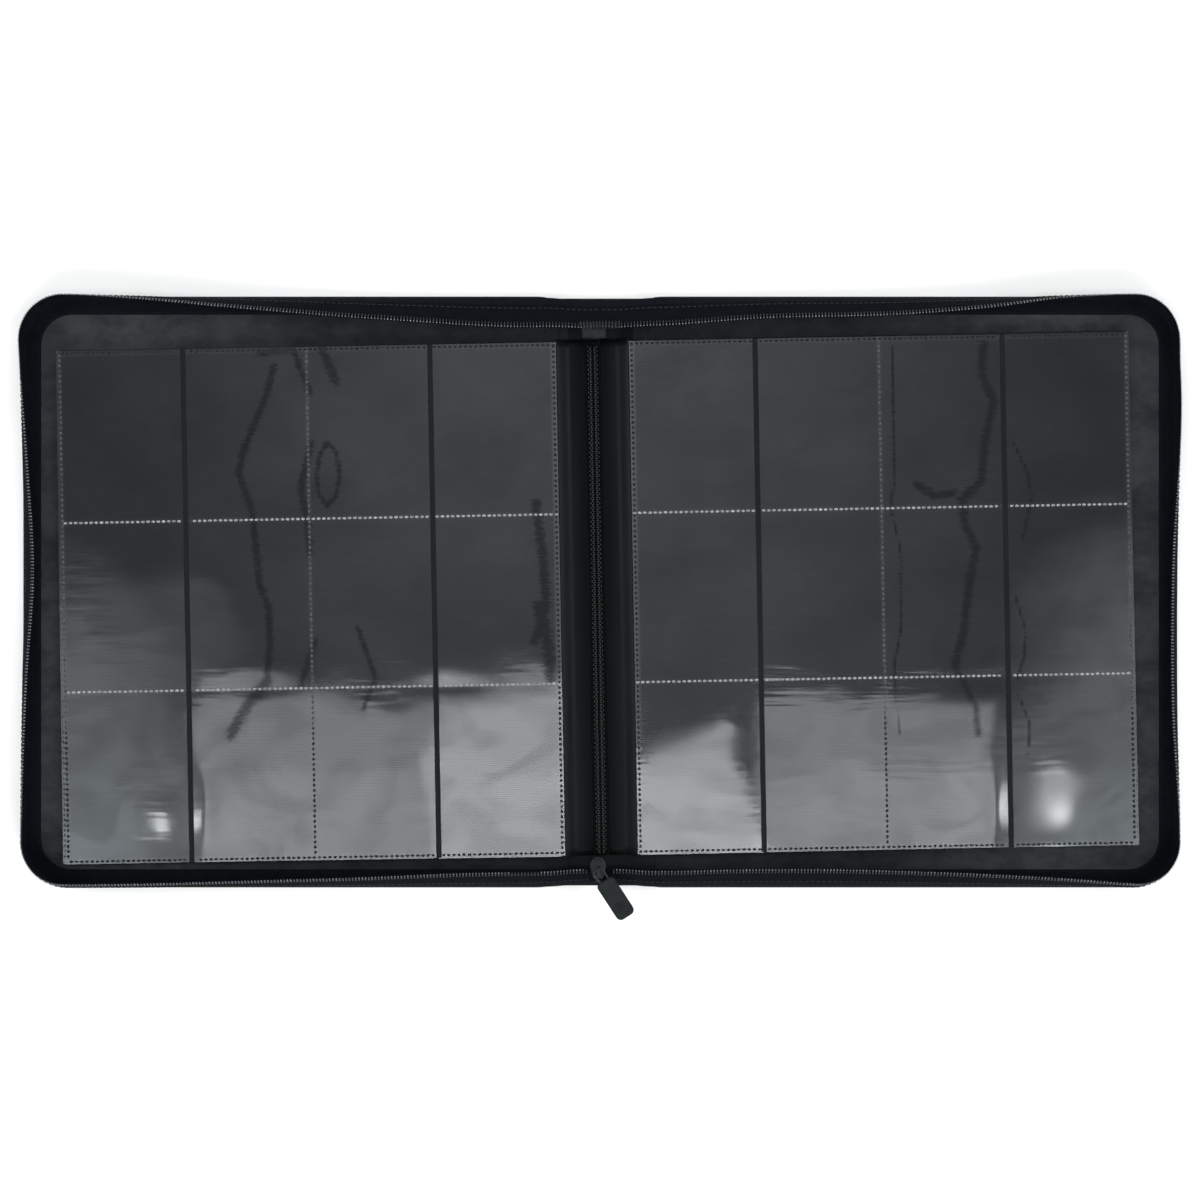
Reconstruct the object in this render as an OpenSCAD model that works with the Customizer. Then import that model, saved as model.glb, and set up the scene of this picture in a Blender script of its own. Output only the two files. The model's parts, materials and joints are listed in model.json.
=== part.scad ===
// Zip-round card binder with side-loading pocket leaves, lying open.
// +X points to the right cover, +Y to the head of the binder, +Z up. The origin is on the table,
// under the middle of the spine.

/* [Case] */
// Width of the spine between the two hinge folds
spine_w = 48; // [44:0.5:52]
// Distance from the middle of the spine to the fore edge of a cover
cover_reach = 326; // [322:0.5:332]
// Height of a cover from tail to head
cover_h = 334; // [330:0.5:340]
// Radius of the two outer corners of a cover
corner_r = 28; // [24:0.5:34]
// Thickness of the outer skin
skin_t = 0.8; // [0.6:0.05:1]
// Thickness of the stiffening board
board_t = 2; // [1.6:0.05:2.2]
// Thickness of the inner lining
lining_t = 0.8; // [0.6:0.05:0.9]
// Width of the skin that wraps up round the board
rim_w = 2; // [1.6:0.1:2.6]
// How far the ends of the spine stand in from the ends of the covers
spine_inset = 1.7; // [1:0.1:2.4]

/* [Zip] */
// Width of the standing zip wall, from the cover to the teeth
wall_dev = 20; // [18:0.1:20.2]
// Thickness of the gusset at the foot of the wall
gusset_t = 1.2; // [0.8:0.1:1.4]
// Thickness of the zip tape
tape_t = 0.8; // [0.5:0.05:1]
// Thickness of the row of teeth
teeth_t = 1.6; // [1.2:0.1:1.8]
// Share of the wall that the gusset takes, from the foot
gusset_share = 0.5; // [0.4:0.05:0.6]
// Share of the wall at which the teeth start
teeth_share = 0.9; // [0.85:0.01:0.92]

/* [Leaves] */
// Columns of pockets on a leaf
pocket_cols = 4; // [4:1:4]
// Rows of pockets on a leaf
pocket_rows = 3; // [2:1:3]
// Width of one pocket, weld to weld
pocket_w = 69.3; // [66:0.1:69.6]
// Height of one pocket, weld to weld
pocket_h = 95; // [90:0.5:95.5]
// Margin of a leaf outside its outer welds
leaf_margin = 1.45; // [1:0.05:1.6]
// Leaves on each side of the binding
leaf_count = 10; // [10:1:10]
// Distance from one leaf to the next
leaf_pitch = 0.7; // [0.6:0.05:0.7]
// Thickness of one lower leaf
leaf_t = 0.5; // [0.3:0.05:0.5]
// Width of the slots that the side-loading pockets open into
slot_w = 3; // [2:0.5:4]
// Angle by which the leaves lie askew in the case
skew = 1.05; // [0.5:0.05:1.1]

/* [Slider] */
// Length of the slider body
slider_l = 12; // [11:0.5:12]
// Width of the slider body
slider_w = 9; // [8:0.5:9]
// Length of the rubber grip
grip_l = 24; // [20:0.5:26]
// Width of the rubber grip
grip_w = 11; // [9:0.5:12]
// Thickness of the rubber grip
grip_t = 2.4; // [2:0.1:2.4]
// Angle of the grip away from straight out
grip_yaw = 33; // [25:1:36]

/* [Hidden] */
$fn = 48;
LOWER = [for (i = [2:leaf_count]) str(i < 10 ? "0" : "", i)];

// Case
cover_t = skin_t + board_t + lining_t;
hinge_x = spine_w / 2;
hinge_z = 0.6;
fold_r = 0.55;
fold_gap = 0.2;
// At this distance from the hinge a cover turned up by 90 degrees still clears the spine
cover_start = hinge_x + cover_t - hinge_z + 0.2;
spine_edge = hinge_x - fold_r - fold_gap;
spine_h = cover_h - 2 * spine_inset;
hinge_rim = 1;

// Zip walls. Each row is the distance along a cover's edge from the hinge at the head, round the
// fore edge to the hinge at the tail, and how far the teeth lean in over the cover there.
foot_inset = 0.2;
LEFT_LEAN = [
    [0, 18], [94, 14.8], [179, 8.7], [240, 3.5], [270, 2], [315, 3.5], [380, 8],
    [440, 11], [505, 7.5], [580, 5], [637, 4.5], [907, 10.4]
];
RIGHT_LEAN = [
    [0, 17.5], [62, 14.3], [147, 12], [190, 8.7], [233, 3.5], [270, 2], [315, 4.4],
    [345, 3.5], [440, 8], [520, 8], [585, 4.5], [637, 5], [664, 7], [720, 10], [907, 10.6]
];
arc_len = corner_r * PI / 2;
edge_len = cover_reach - corner_r - cover_start;
side_len = cover_h - 2 * corner_r;
arc_steps = 8;
side_steps = 12;
mitre_gap = 0.25;
// Share of the wall left free between the tape and the teeth, whose skewed faces would cross
seam_share = 0.006;
head_lean = 16.3;
head_dev = 19.5;
tail_lean = 9;
tail_dev = 14;

// Leaves
leaf_start = 20.5;
leaf_w = pocket_cols * pocket_w + 2 * leaf_margin;
leaf_h = pocket_rows * pocket_h + 2 * leaf_margin;
block_x = -1.7;
block_y = -3.5;
stack_z = cover_t + 0.3;
turn_z = stack_z + (leaf_count - 1) * leaf_pitch;
back_film_t = 0.2;
backing_t = 0.5;
front_film_t = 0.25;
weld_w = 1.5;
film_sheet_t = 0.12;
bind_w = 9;
bind_t = 0.5;
margins_w = 32;
margins_t = 0.7;
bind_z = cover_t + margins_t;
stitch_pitch = 4.7;
stitch_l = 2.6;
stitch_w = 0.5;
stitch_t = 0.15;

// Slider
slider_x = -1;
slider_back_y = -160;
pin_y = slider_back_y + 4.5;
plate_t = 0.9;
slider_z = 14.9;
slot_h = 2.2;
slider_top = slider_z + 2 * plate_t + slot_h;
stub_t = 1.6;
stub_w = 3.4;
stub_l = 11;
pin_r = 0.6;
pin_fit = 0.08;
pin_z = slider_top + 1.5;
bridge_w = 1.8;
bridge_l = 4.8;
bridge_h = 2.9;
link_t = 1;
arm_w = 0.9;
arm_gap = 1.4;
link_l = 9;
grip_start = 6;
grip_r = 3;

// Colours
PU_BLACK = "#17191b";
BOARD_GREY = "#6d6a64";
LINING_GREY = "#3a3e42";
CLOTH_BLACK = "#141618";
TEETH_BLACK = "#22252a";
LEAF_SLATE = "#2e3235";
FILM_GREY = "#6f7679";
METAL_BLACK = "#1b1c1e";
RUBBER_GREY = "#2a2c2e";

// A flat outline with the two outer corners rounded, from x = inner to x = reach
module cover_outline(inner, reach, h, r) {
    translate([inner, -h / 2]) square([reach - r - inner, h]);
    translate([inner, -h / 2 + r]) square([reach - inner, h - 2 * r]);
    for (side = [-1, 1]) translate([reach - r, side * (h / 2 - r)]) circle(r);
}

// The hollow of the skin, which the board and the lining fill
module cover_pocket_outline() {
    cover_outline(
        cover_start + hinge_rim, cover_reach - rim_w, cover_h - 2 * rim_w, corner_r - rim_w
    );
}

// The skin lies under the board and wraps up round all its edges
module cover_skin() {
    difference() {
        linear_extrude(cover_t) cover_outline(cover_start, cover_reach, cover_h, corner_r);
        translate([0, 0, skin_t]) linear_extrude(cover_t) cover_pocket_outline();
    }
}

module cover_board() {
    translate([0, 0, skin_t]) linear_extrude(board_t) cover_pocket_outline();
}

module cover_lining() {
    translate([0, 0, skin_t + board_t]) linear_extrude(lining_t) cover_pocket_outline();
}

module mirrored(side) {
    if (side < 0) mirror([1, 0, 0]) children();
    else children();
}

module spine_plate(z, t) {
    translate([-spine_edge, -spine_h / 2, z]) cube([2 * spine_edge, spine_h, t]);
}

// A thin web of skin ends in a round bead, which lies on the axis of the cover's fold
module hinge_fold() {
    translate([hinge_x, spine_h / 2, hinge_z]) rotate([90, 0, 0]) cylinder(r = fold_r, h = spine_h);
    translate([spine_edge, -spine_h / 2, hinge_z - fold_r + fold_gap])
        cube([hinge_x - spine_edge, spine_h, 2 * (fold_r - fold_gap)]);
}

// One station of a wall: where its foot stands, the way in over the cover, and its lean there
function station(s) =
    let (a = (s - edge_len) / arc_len * 90, b = (s - edge_len - arc_len - side_len) / arc_len * 90,
        reach = cover_reach - foot_inset, top = cover_h / 2 - foot_inset, r = corner_r - foot_inset)
    s <= edge_len ? [[cover_start + s, top], [0, -1]]
    : s <= edge_len + arc_len
    ? [[reach - r + r * sin(a), top - r + r * cos(a)], [-sin(a), -cos(a)]]
    : s <= edge_len + arc_len + side_len
    ? [[reach, top - r - (s - edge_len - arc_len)], [-1, 0]]
    : s <= edge_len + 2 * arc_len + side_len
    ? [[reach - r + r * cos(b), -top + r - r * sin(b)], [-cos(b), sin(b)]]
    : [[reach - r - (s - edge_len - 2 * arc_len - side_len), -top], [0, 1]];

// The places of the stations, close together round the corners and where the lean changes
function stations(leans) =
    let (a = edge_len, b = a + arc_len, c = b + side_len, d = c + arc_len)
    concat(
        [for (row = leans) if (row[0] < a - 1) row[0]],
        [for (i = [0:arc_steps]) a + i * arc_len / arc_steps],
        [for (i = [1:side_steps - 1]) b + i * side_len / side_steps],
        [for (i = [0:arc_steps]) c + i * arc_len / arc_steps],
        [for (row = leans) if (row[0] > d + 1 && row[0] < d + edge_len - 5) row[0]],
        [d + edge_len]
    );

// The outer and the inner point of a wall at a share of its width up from the foot
function wall_pair(foot, in, lean, dev, share, t) =
    let (rise = sqrt(dev * dev - lean * lean), outer = [
            foot[0] + in[0] * lean * share, foot[1] + in[1] * lean * share,
            cover_t + rise * share
        ],
        flat = 1 - share + share * rise / dev, drop = share * lean / dev)
    [outer, outer + t * [in[0] * flat, in[1] * flat, -drop]];

// A section of a wall between two shares of its width, turning anticlockwise as seen along it
function wall_section(foot, in, lean, dev, low, high, t) =
    let (a = wall_pair(foot, in, lean, dev, low, t), b = wall_pair(foot, in, lean, dev, high, t))
    [a[0], b[0], b[1], a[1]];

// The ends of a wall at a hinge are cut at 45 degrees through the axis of the fold
function mitred(section) =
    [for (p = section) [hinge_x + p[2] - hinge_z + mitre_gap, p[1], p[2]]];

function cover_sections(leans, low, high, t) =
    let (places = stations(leans), last = len(places) - 1)
    [for (i = [0:last])
        let (at = station(places[i]), lean = lookup(places[i], leans),
            section = wall_section(at[0], at[1], lean, wall_dev, low, high, t))
        i == 0 || i == last ? mitred(section) : section];

// A solid through a row of four-point sections
module swept(sections) {
    n = len(sections);
    polyhedron(
        points = [for (section = sections, p = section) p],
        faces = concat(
            [[3, 2, 1, 0]],
            [for (i = [0:n - 2], k = [0:3], half = [0, 1])
                let (a = 4 * i + k, b = 4 * i + (k + 1) % 4)
                half == 0 ? [a, b, b + 4] : [a, b + 4, a + 4]],
            [[for (k = [0:3]) 4 * (n - 1) + k]]
        )
    );
}

module cover_wall(leans, low, high, t) {
    swept(cover_sections(leans, low, high, t));
}

// The wall across one end of the spine, head or tail
module end_wall(end, lean, dev, low, high, t) {
    foot = [0, end * (spine_h / 2 - foot_inset)];
    section = wall_section(foot, [0, -end], lean, dev, low, high, t);
    reach = [for (p = section) hinge_x - (p[2] - hinge_z) - mitre_gap];
    swept([for (way = [end, -end]) [for (k = [0:3]) [way * reach[k], section[k][1], section[k][2]]]]);
}

// Moves a leaf's own frame, with its fold along Y, to where the leaves lie in the case
module askew() {
    translate([block_x, block_y, 0]) rotate([0, 0, skew]) children();
}

module leaf_plate(z, t) {
    translate([leaf_start, -leaf_h / 2, z]) cube([leaf_w, leaf_h, t]);
}

module lower_leaf(index, side) {
    color(LEAF_SLATE) askew() mirrored(side)
        leaf_plate(stack_z + (leaf_count - index) * leaf_pitch, leaf_t);
}

// One welded panel of clear film over some columns of pockets, its sheet standing off the backing
module film_panel(first, cols, weld_at, z, t, up) {
    x0 = leaf_start + (first == 0 ? 0 : leaf_margin + first * pocket_w + slot_w / 2);
    x1 = leaf_start + (first + cols == pocket_cols ? leaf_w
        : leaf_margin + (first + cols) * pocket_w - slot_w / 2);
    weld_t = t - film_sheet_t;
    translate([x0, -leaf_h / 2, up ? z + weld_t : z]) cube([x1 - x0, leaf_h, film_sheet_t]);
    translate([0, 0, up ? z : z + film_sheet_t]) {
        for (row = [0:pocket_rows])
            translate([x0, row * (leaf_h - weld_w) / pocket_rows - leaf_h / 2, 0])
                cube([x1 - x0, weld_w, weld_t]);
        translate([weld_at, -leaf_h / 2, 0]) cube([weld_w, leaf_h, weld_t]);
    }
}

// The three panels of one face, which leave a slot beside the first and the last column
module film(z, t, up) {
    film_panel(0, 1, leaf_start, z, t, up);
    film_panel(1, pocket_cols - 2, leaf_start + (leaf_w - weld_w) / 2, z, t, up);
    film_panel(pocket_cols - 1, 1, leaf_start + leaf_w - weld_w, z, t, up);
}

module top_backing(side) {
    color(LEAF_SLATE) askew() mirrored(side) leaf_plate(turn_z + back_film_t, backing_t);
}

module top_front_film(side) {
    color(FILM_GREY) askew() mirrored(side)
        film(turn_z + back_film_t + backing_t, front_film_t, true);
}

module top_back_film(side) {
    color(FILM_GREY) askew() mirrored(side) film(turn_z, back_film_t, false);
}

// The pointed outline of the slider's two plates
module shield() {
    polygon([
        [-slider_w / 2, slider_l * 0.55], [-slider_w / 2 + 0.6, slider_l * 0.85],
        [-slider_w / 5, slider_l], [slider_w / 5, slider_l],
        [slider_w / 2 - 0.6, slider_l * 0.85], [slider_w / 2, slider_l * 0.55],
        [slider_w * 0.3, 0], [-slider_w * 0.3, 0]
    ]);
}

// The two plates, the post between them at the nose, and the side flanges with a slit for the tape
module slider_body() {
    flange_w = 0.9;
    flange_h = 0.7;
    translate([slider_x, slider_back_y, slider_z]) {
        linear_extrude(plate_t) shield();
        translate([0, 0, plate_t + slot_h]) linear_extrude(plate_t) shield();
        translate([-0.8, slider_l - 0.8, plate_t]) cube([1.6, 0.8, slot_h]);
        for (z = [plate_t, plate_t + slot_h - flange_h]) translate([0, 0, z])
            linear_extrude(flange_h) difference() {
                shield();
                translate([-slider_w / 2 + flange_w + 0.3, -1])
                    square([slider_w - 2 * flange_w - 0.6, slider_l + 2]);
            }
    }
}

// Turns to the frame of the pull: its pin along X, the grip out along -Y
module pull_frame() {
    translate([slider_x, pin_y, pin_z]) rotate([0, 0, grip_yaw]) children();
}

module pin(r, l) {
    translate([-l / 2, 0, 0]) rotate([0, 90, 0]) cylinder(r = r, h = l);
}

module bridge() {
    difference() {
        translate([slider_x - bridge_w / 2, pin_y - bridge_l / 2, slider_top])
            cube([bridge_w, bridge_l, bridge_h]);
        pull_frame() pin(pin_r + pin_fit, 3 * bridge_w);
    }
}

// Along the pin, the arms stand clear of the corners of the bridge
arm_x = bridge_w / 2 + arm_gap + arm_w / 2;
module link() {
    pin(pin_r, 2 * arm_x);
    for (side = [-1, 1]) translate([side * arm_x - arm_w / 2, -link_l, -link_t / 2])
        cube([arm_w, link_l + 0.7, link_t]);
    translate([-arm_x - arm_w / 2, -link_l, -link_t / 2]) cube([2 * arm_x + arm_w, 1.4, link_t]);
}

module grip_outline() {
    translate([-grip_w / 2 + grip_r, -grip_l]) square([grip_w - 2 * grip_r, grip_l]);
    translate([-grip_w / 2, -grip_l + grip_r]) square([grip_w, grip_l - 2 * grip_r]);
    for (x = [-1, 1], y = [-grip_r, grip_r - grip_l])
        translate([x * (grip_w / 2 - grip_r), y]) circle(grip_r);
}

module grip() {
    difference() {
        translate([0, -grip_start, -grip_t / 2]) linear_extrude(grip_t) grip_outline();
        translate([-arm_x - arm_w / 2, -link_l, -link_t / 2])
            cube([2 * arm_x + arm_w, link_l, link_t]);
    }
}

module spine_skin() {
    color(PU_BLACK) spine_plate(0, skin_t);
}

module spine_board() {
    color(BOARD_GREY) spine_plate(skin_t, board_t);
}

module spine_lining() {
    color(CLOTH_BLACK) spine_plate(skin_t + board_t, lining_t);
}

// The short stub of closed chain that the slider is parked on, held up at its outer end
module bottom_end_teeth() {
    stub_z = slider_z + plate_t + (slot_h - stub_t) / 2;
    post_y = slider_back_y - 2;
    color(TEETH_BLACK) translate([slider_x - stub_w / 2, 0, 0]) {
        translate([0, post_y, stub_z]) cube([stub_w, stub_l, stub_t]);
        translate([0, post_y, 9.6]) cube([stub_w, 1.4, stub_z - 9.6]);
    }
}

// The tab of cloth that closes the top end of the chain
module zip_end_tab() {
    color(FILM_GREY) translate([-10, 142, 13.4]) cube([13.4, 5, 0.8]);
}

// The inner margins of all leaves, pressed together where they are welded to the spine
module binding_margins() {
    color(CLOTH_BLACK) askew() translate([-margins_w / 2, -leaf_h / 2, cover_t])
        cube([margins_w, leaf_h, margins_t]);
}

module binding_strip() {
    color(PU_BLACK) askew() translate([-bind_w / 2, -leaf_h / 2, bind_z])
        cube([bind_w, leaf_h, bind_t]);
}

// Two columns of short slanting stitches down the binding strip
module binding_stitches() {
    count = floor(leaf_h / stitch_pitch) - 1;
    start = -(count - 1) * stitch_pitch / 2;
    color(FILM_GREY) askew() for (i = [0:count - 1], side = [-1, 1])
        translate([side * bind_w / 4, start + i * stitch_pitch, bind_z + bind_t])
            rotate([0, 0, side * 45]) translate([-stitch_l / 2, -stitch_w / 2, 0])
                cube([stitch_l, stitch_w, stitch_t]);
}

module zip_slider() {
    color(METAL_BLACK) slider_body();
}

module slider_bridge() {
    color(METAL_BLACK) bridge();
}

module pull_link() {
    color(METAL_BLACK) pull_frame() link();
}

module pull_grip() {
    color(RUBBER_GREY) pull_frame() grip();
}

spine_skin();
spine_board();
spine_lining();
color(PU_BLACK) mirrored(-1) hinge_fold();  // left_hinge_fold
color(PU_BLACK) hinge_fold();  // right_hinge_fold
color(CLOTH_BLACK) end_wall(1, head_lean, head_dev, 0, gusset_share, gusset_t);  // top_end_gusset
color(CLOTH_BLACK) end_wall(1, head_lean, head_dev, gusset_share, teeth_share, tape_t);  // top_end_tape
color(TEETH_BLACK) end_wall(1, head_lean, head_dev, teeth_share + seam_share, 1, teeth_t);  // top_end_teeth
zip_end_tab();
color(CLOTH_BLACK) end_wall(-1, tail_lean, tail_dev, 0, gusset_share, gusset_t);  // bottom_end_gusset
color(CLOTH_BLACK) end_wall(-1, tail_lean, tail_dev, gusset_share, 1, tape_t);  // bottom_end_tape
bottom_end_teeth();
binding_margins();
binding_strip();
binding_stitches();
for (side = [-1, 1]) {
    name = side < 0 ? "left" : "right";
    leans = side < 0 ? LEFT_LEAN : RIGHT_LEAN;
    color(PU_BLACK) mirrored(side) cover_skin();
    color(BOARD_GREY) mirrored(side) cover_board();
    color(LINING_GREY) mirrored(side) cover_lining();
    color(CLOTH_BLACK) mirrored(side) cover_wall(leans, 0, gusset_share, gusset_t);
    color(CLOTH_BLACK) mirrored(side) cover_wall(leans, gusset_share, teeth_share, tape_t);
    color(TEETH_BLACK) mirrored(side) cover_wall(leans, teeth_share + seam_share, 1, teeth_t);
    for (i = [2:leaf_count])
        lower_leaf(i, side);
    top_backing(side);
    top_front_film(side);
    top_back_film(side);
}
zip_slider();
slider_bridge();
pull_link();
pull_grip();
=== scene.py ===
"""Looks for the zip-round card binder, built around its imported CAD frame. All lengths are in metres."""
import json
import math

import bpy
import numpy as np
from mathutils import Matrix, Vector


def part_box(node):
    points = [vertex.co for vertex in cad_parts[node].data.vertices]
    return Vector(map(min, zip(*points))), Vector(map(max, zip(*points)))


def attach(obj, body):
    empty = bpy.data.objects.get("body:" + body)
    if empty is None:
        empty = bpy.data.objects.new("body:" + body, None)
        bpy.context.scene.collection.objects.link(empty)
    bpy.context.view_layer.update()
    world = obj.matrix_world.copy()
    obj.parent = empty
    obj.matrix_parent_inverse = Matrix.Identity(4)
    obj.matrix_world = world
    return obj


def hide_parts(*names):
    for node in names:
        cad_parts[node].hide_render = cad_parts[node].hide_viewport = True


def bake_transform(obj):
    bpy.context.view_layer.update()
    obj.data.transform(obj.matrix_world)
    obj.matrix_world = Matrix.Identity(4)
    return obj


MM = 0.001
X_AXIS, Y_AXIS, Z_AXIS = np.eye(3)
RANDOM = np.random.default_rng(7)

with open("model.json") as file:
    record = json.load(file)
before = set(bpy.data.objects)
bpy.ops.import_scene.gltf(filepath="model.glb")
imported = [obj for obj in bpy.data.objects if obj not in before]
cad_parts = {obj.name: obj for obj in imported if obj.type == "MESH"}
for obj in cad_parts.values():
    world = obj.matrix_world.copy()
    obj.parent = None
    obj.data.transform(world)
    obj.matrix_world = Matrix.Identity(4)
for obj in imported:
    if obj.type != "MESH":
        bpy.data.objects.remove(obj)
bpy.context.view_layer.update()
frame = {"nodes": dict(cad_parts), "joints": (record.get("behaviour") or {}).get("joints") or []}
JOINTS = {joint["name"]: joint for joint in frame["joints"]}
SIDES = {"left": -1, "right": 1}

# Places and sizes, all from the frame
COVER_LOW, COVER_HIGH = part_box("right_cover_skin")
REACH, HALF_H, COVER_TOP = COVER_HIGH.x, COVER_HIGH.y, COVER_HIGH.z
COVER_START = COVER_LOW.x
SPINE_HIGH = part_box("spine_skin")[1]
SPINE_HALF_H, SPINE_EDGE, SKIN_T = SPINE_HIGH.y, SPINE_HIGH.x, SPINE_HIGH.z
TURN = np.array(JOINTS["left_leaf_turn"]["pos_m"])
ALONG = np.array(JOINTS["right_leaf_turn"]["axis"])
ACROSS = np.array([ALONG[1], -ALONG[0], 0.0])
SLIDER_LOW, SLIDER_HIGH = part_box("zip_slider")
PIN = np.array(JOINTS["pull_swing"]["pos_m"])
PIN_AXIS = np.array(JOINTS["pull_swing"]["axis"])
PULL_BACK = np.array([-PIN_AXIS[1], PIN_AXIS[0], 0])

# The case. The walls lean in by different amounts along each cover's edge: pairs of the distance
# from the hinge at the head, round the fore edge to the tail, and the lean, in millimetres.
CORNER_R = 28 * MM
LEANS = {
    "left": [(-27, 16.6), (0, 18), (94, 14.8), (179, 8.7), (240, 3.5), (270, 2), (315, 3.5), (380, 8),
             (440, 11), (505, 7.5), (580, 5), (637, 4.5), (780, 7.6), (907, 10.4), (935, 9)],
    "right": [(-27, 16.6), (0, 17.5), (62, 14.3), (147, 12), (190, 8.7), (233, 3.5), (270, 2),
              (315, 4.4), (345, 3.5), (440, 8), (520, 8), (585, 4.5), (637, 5), (664, 7), (720, 10),
              (907, 10.6), (935, 9)],
}
WALL_DEV = 20 * MM
HEAD_DEV, TAIL_DEV = 19.5 * MM, 14 * MM
FOOT_INSET = 0.8 * MM
FLANGE_W = 9.6 * MM
WALL_CURVE = 1.45            # above 1, the wall leans in mostly near its top
END_FLAT = 6 * MM            # at the middle of the spine's ends the wall keeps one height for this long,
END_BLEND = 50 * MM          # and comes to its full height over this length
DIP_BLEND = 25 * MM          # its foot comes out from the spine's end to the cover's edge over this
GUSSET_SHARE, TAPE_SHARE, CORD_SHARE = 0.5, 0.93, 0.985   # where each strip of the wall ends
GUSSET_LAP, TAPE_LAP = 0.04, 0.1
TOOTH_PITCH = 1.8 * MM
SLIDER_PASS = (33 * MM, 50 * MM)   # where the left row passes the slider as the cover folds
STITCH_PITCH = 3.2 * MM

# The leaves
POCKET_COLS, POCKET_ROWS = 4, 3
SLOT_W = 3 * MM
WELD_INSET = 1.45 * MM
WELD_PITCH = 2.9 * MM


def in_leaf_frame(node, side):
    """How far a CAD leaf reaches across from the binding and along it: two lows and two highs."""
    co = np.array([v.co for v in frame["nodes"][node].data.vertices]) - [TURN[0], TURN[1], 0]
    across, along = co @ ACROSS * side, co @ ALONG
    return across.min(), across.max(), along.min(), along.max()


LEAF_U0, LEAF_U1, LEAF_V0, LEAF_V1 = in_leaf_frame("right_leaf_01_backing", 1)
POCKET_W = (LEAF_U1 - LEAF_U0 - 2 * WELD_INSET) / POCKET_COLS
POCKET_H = (LEAF_V1 - LEAF_V0 - 2 * WELD_INSET) / POCKET_ROWS


# ---------------------------------------------------------------- mesh helpers

def new_object(name, verts, faces, material, smooth=True):
    mesh = bpy.data.meshes.new(name)
    mesh.from_pydata([tuple(v) for v in verts], [], [tuple(f) for f in faces])
    mesh.update()
    if smooth:
        mesh.polygons.foreach_set("use_smooth", [True] * len(mesh.polygons))
    mesh.materials.append(material)
    obj = bpy.data.objects.new(name, mesh)
    bpy.context.scene.collection.objects.link(obj)
    return obj


def set_attribute(obj, name, values):
    attribute = obj.data.attributes.new(name, "FLOAT", "POINT")
    attribute.data.foreach_set("value", np.asarray(values, np.float32))


def grid_faces(rows, cols, base=0, wrap=False):
    """Quads of a grid of points stored row by row; wrap joins each row's last point to its first."""
    faces = []
    for r in range(rows - 1):
        for c in range(cols if wrap else cols - 1):
            d = (c + 1) % cols
            faces.append((base + r * cols + c, base + r * cols + d,
                          base + (r + 1) * cols + d, base + (r + 1) * cols + c))
    return faces


def closed_faces(rows, cols):
    """Quads round a stack of closed rings, with the first and the last ring filled in."""
    first, last = range(cols), range((rows - 1) * cols, rows * cols)
    return grid_faces(rows, cols, wrap=True) + [tuple(first)[::-1], tuple(last)]


def unit(v):
    return v / np.linalg.norm(v)


def unit_rows(v):
    return v / np.linalg.norm(v, axis=1)[:, None]


def turns(count):
    """Angles evenly round a circle."""
    return np.linspace(0, 2 * math.pi, count, endpoint=False)


def arc(cx, cy, r, start, steps):
    """Points of a quarter circle, anticlockwise from the start angle in degrees."""
    angles = [math.radians(start + 90 * i / steps) for i in range(steps + 1)]
    return [(cx + r * math.cos(a), cy + r * math.sin(a)) for a in angles]


def smooth_step(x):
    x = np.clip(x, 0, 1)
    return x * x * (3 - 2 * x)


def smooth_lookup(x, table):
    """A value between the rows of a table, with smooth joins."""
    xs, ys = np.array([r[0] for r in table], float), np.array([r[1] for r in table], float)
    slopes = np.gradient(ys, xs)
    i = np.clip(np.searchsorted(xs, x) - 1, 0, len(xs) - 2)
    h = xs[i + 1] - xs[i]
    t = np.clip((x - xs[i]) / h, 0, 1)
    return ((2 * t**3 - 3 * t**2 + 1) * ys[i] + (t**3 - 2 * t**2 + t) * h * slopes[i]
            + (3 * t**2 - 2 * t**3) * ys[i + 1] + (t**3 - t**2) * h * slopes[i + 1])


def settle(body, slot_name, *pieces):
    """Each piece rides on a CAD body; the slot name is not used."""
    for piece in pieces:
        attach(piece, body)


class Waves:
    """Smooth uneven heights: a sum of sines with seeded directions, from -1 to about 1."""

    def __init__(self, length, count=9):
        angle = RANDOM.uniform(0, 2 * math.pi, count)
        k = 2 * math.pi / (length * RANDOM.uniform(0.6, 1.8, count))
        self.kx, self.ky = k * np.cos(angle), k * np.sin(angle)
        self.phase = RANDOM.uniform(0, 2 * math.pi, count)

    def __call__(self, x, y):
        total = sum(np.sin(kx * x + ky * y + p) for kx, ky, p in zip(self.kx, self.ky, self.phase))
        return total / math.sqrt(len(self.phase)) * 0.7


def ribbon_loop(points, t):
    """The closed outline of a thin strip that follows the points: out along one face, back the other."""
    p = np.asarray(points, float)
    d = np.gradient(p, axis=0)
    n = unit_rows(np.stack([-d[:, 1], d[:, 0]], axis=1))
    return np.concatenate([p + n * t / 2, (p - n * t / 2)[::-1]])


def sweep(name, sections, material, smooth=True):
    """A closed solid through rows of section points, all rows the same length."""
    sections = np.asarray(sections)
    return new_object(name, sections.reshape(-1, 3), closed_faces(*sections.shape[:2]), material, smooth)


def scatter(name, places, shape, material):
    """Many copies of one small shape as one mesh. A place is (origin, x axis, y axis, z axis)."""
    verts, faces = shape
    verts = np.asarray(verts)
    all_verts, all_faces = [], []
    for i, (origin, ax, ay, az) in enumerate(places):
        all_verts.append(origin + verts[:, :1] * ax + verts[:, 1:2] * ay + verts[:, 2:] * az)
        all_faces += [tuple(k + i * len(verts) for k in f) for f in faces]
    return new_object(name, np.concatenate(all_verts), all_faces, material)


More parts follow.
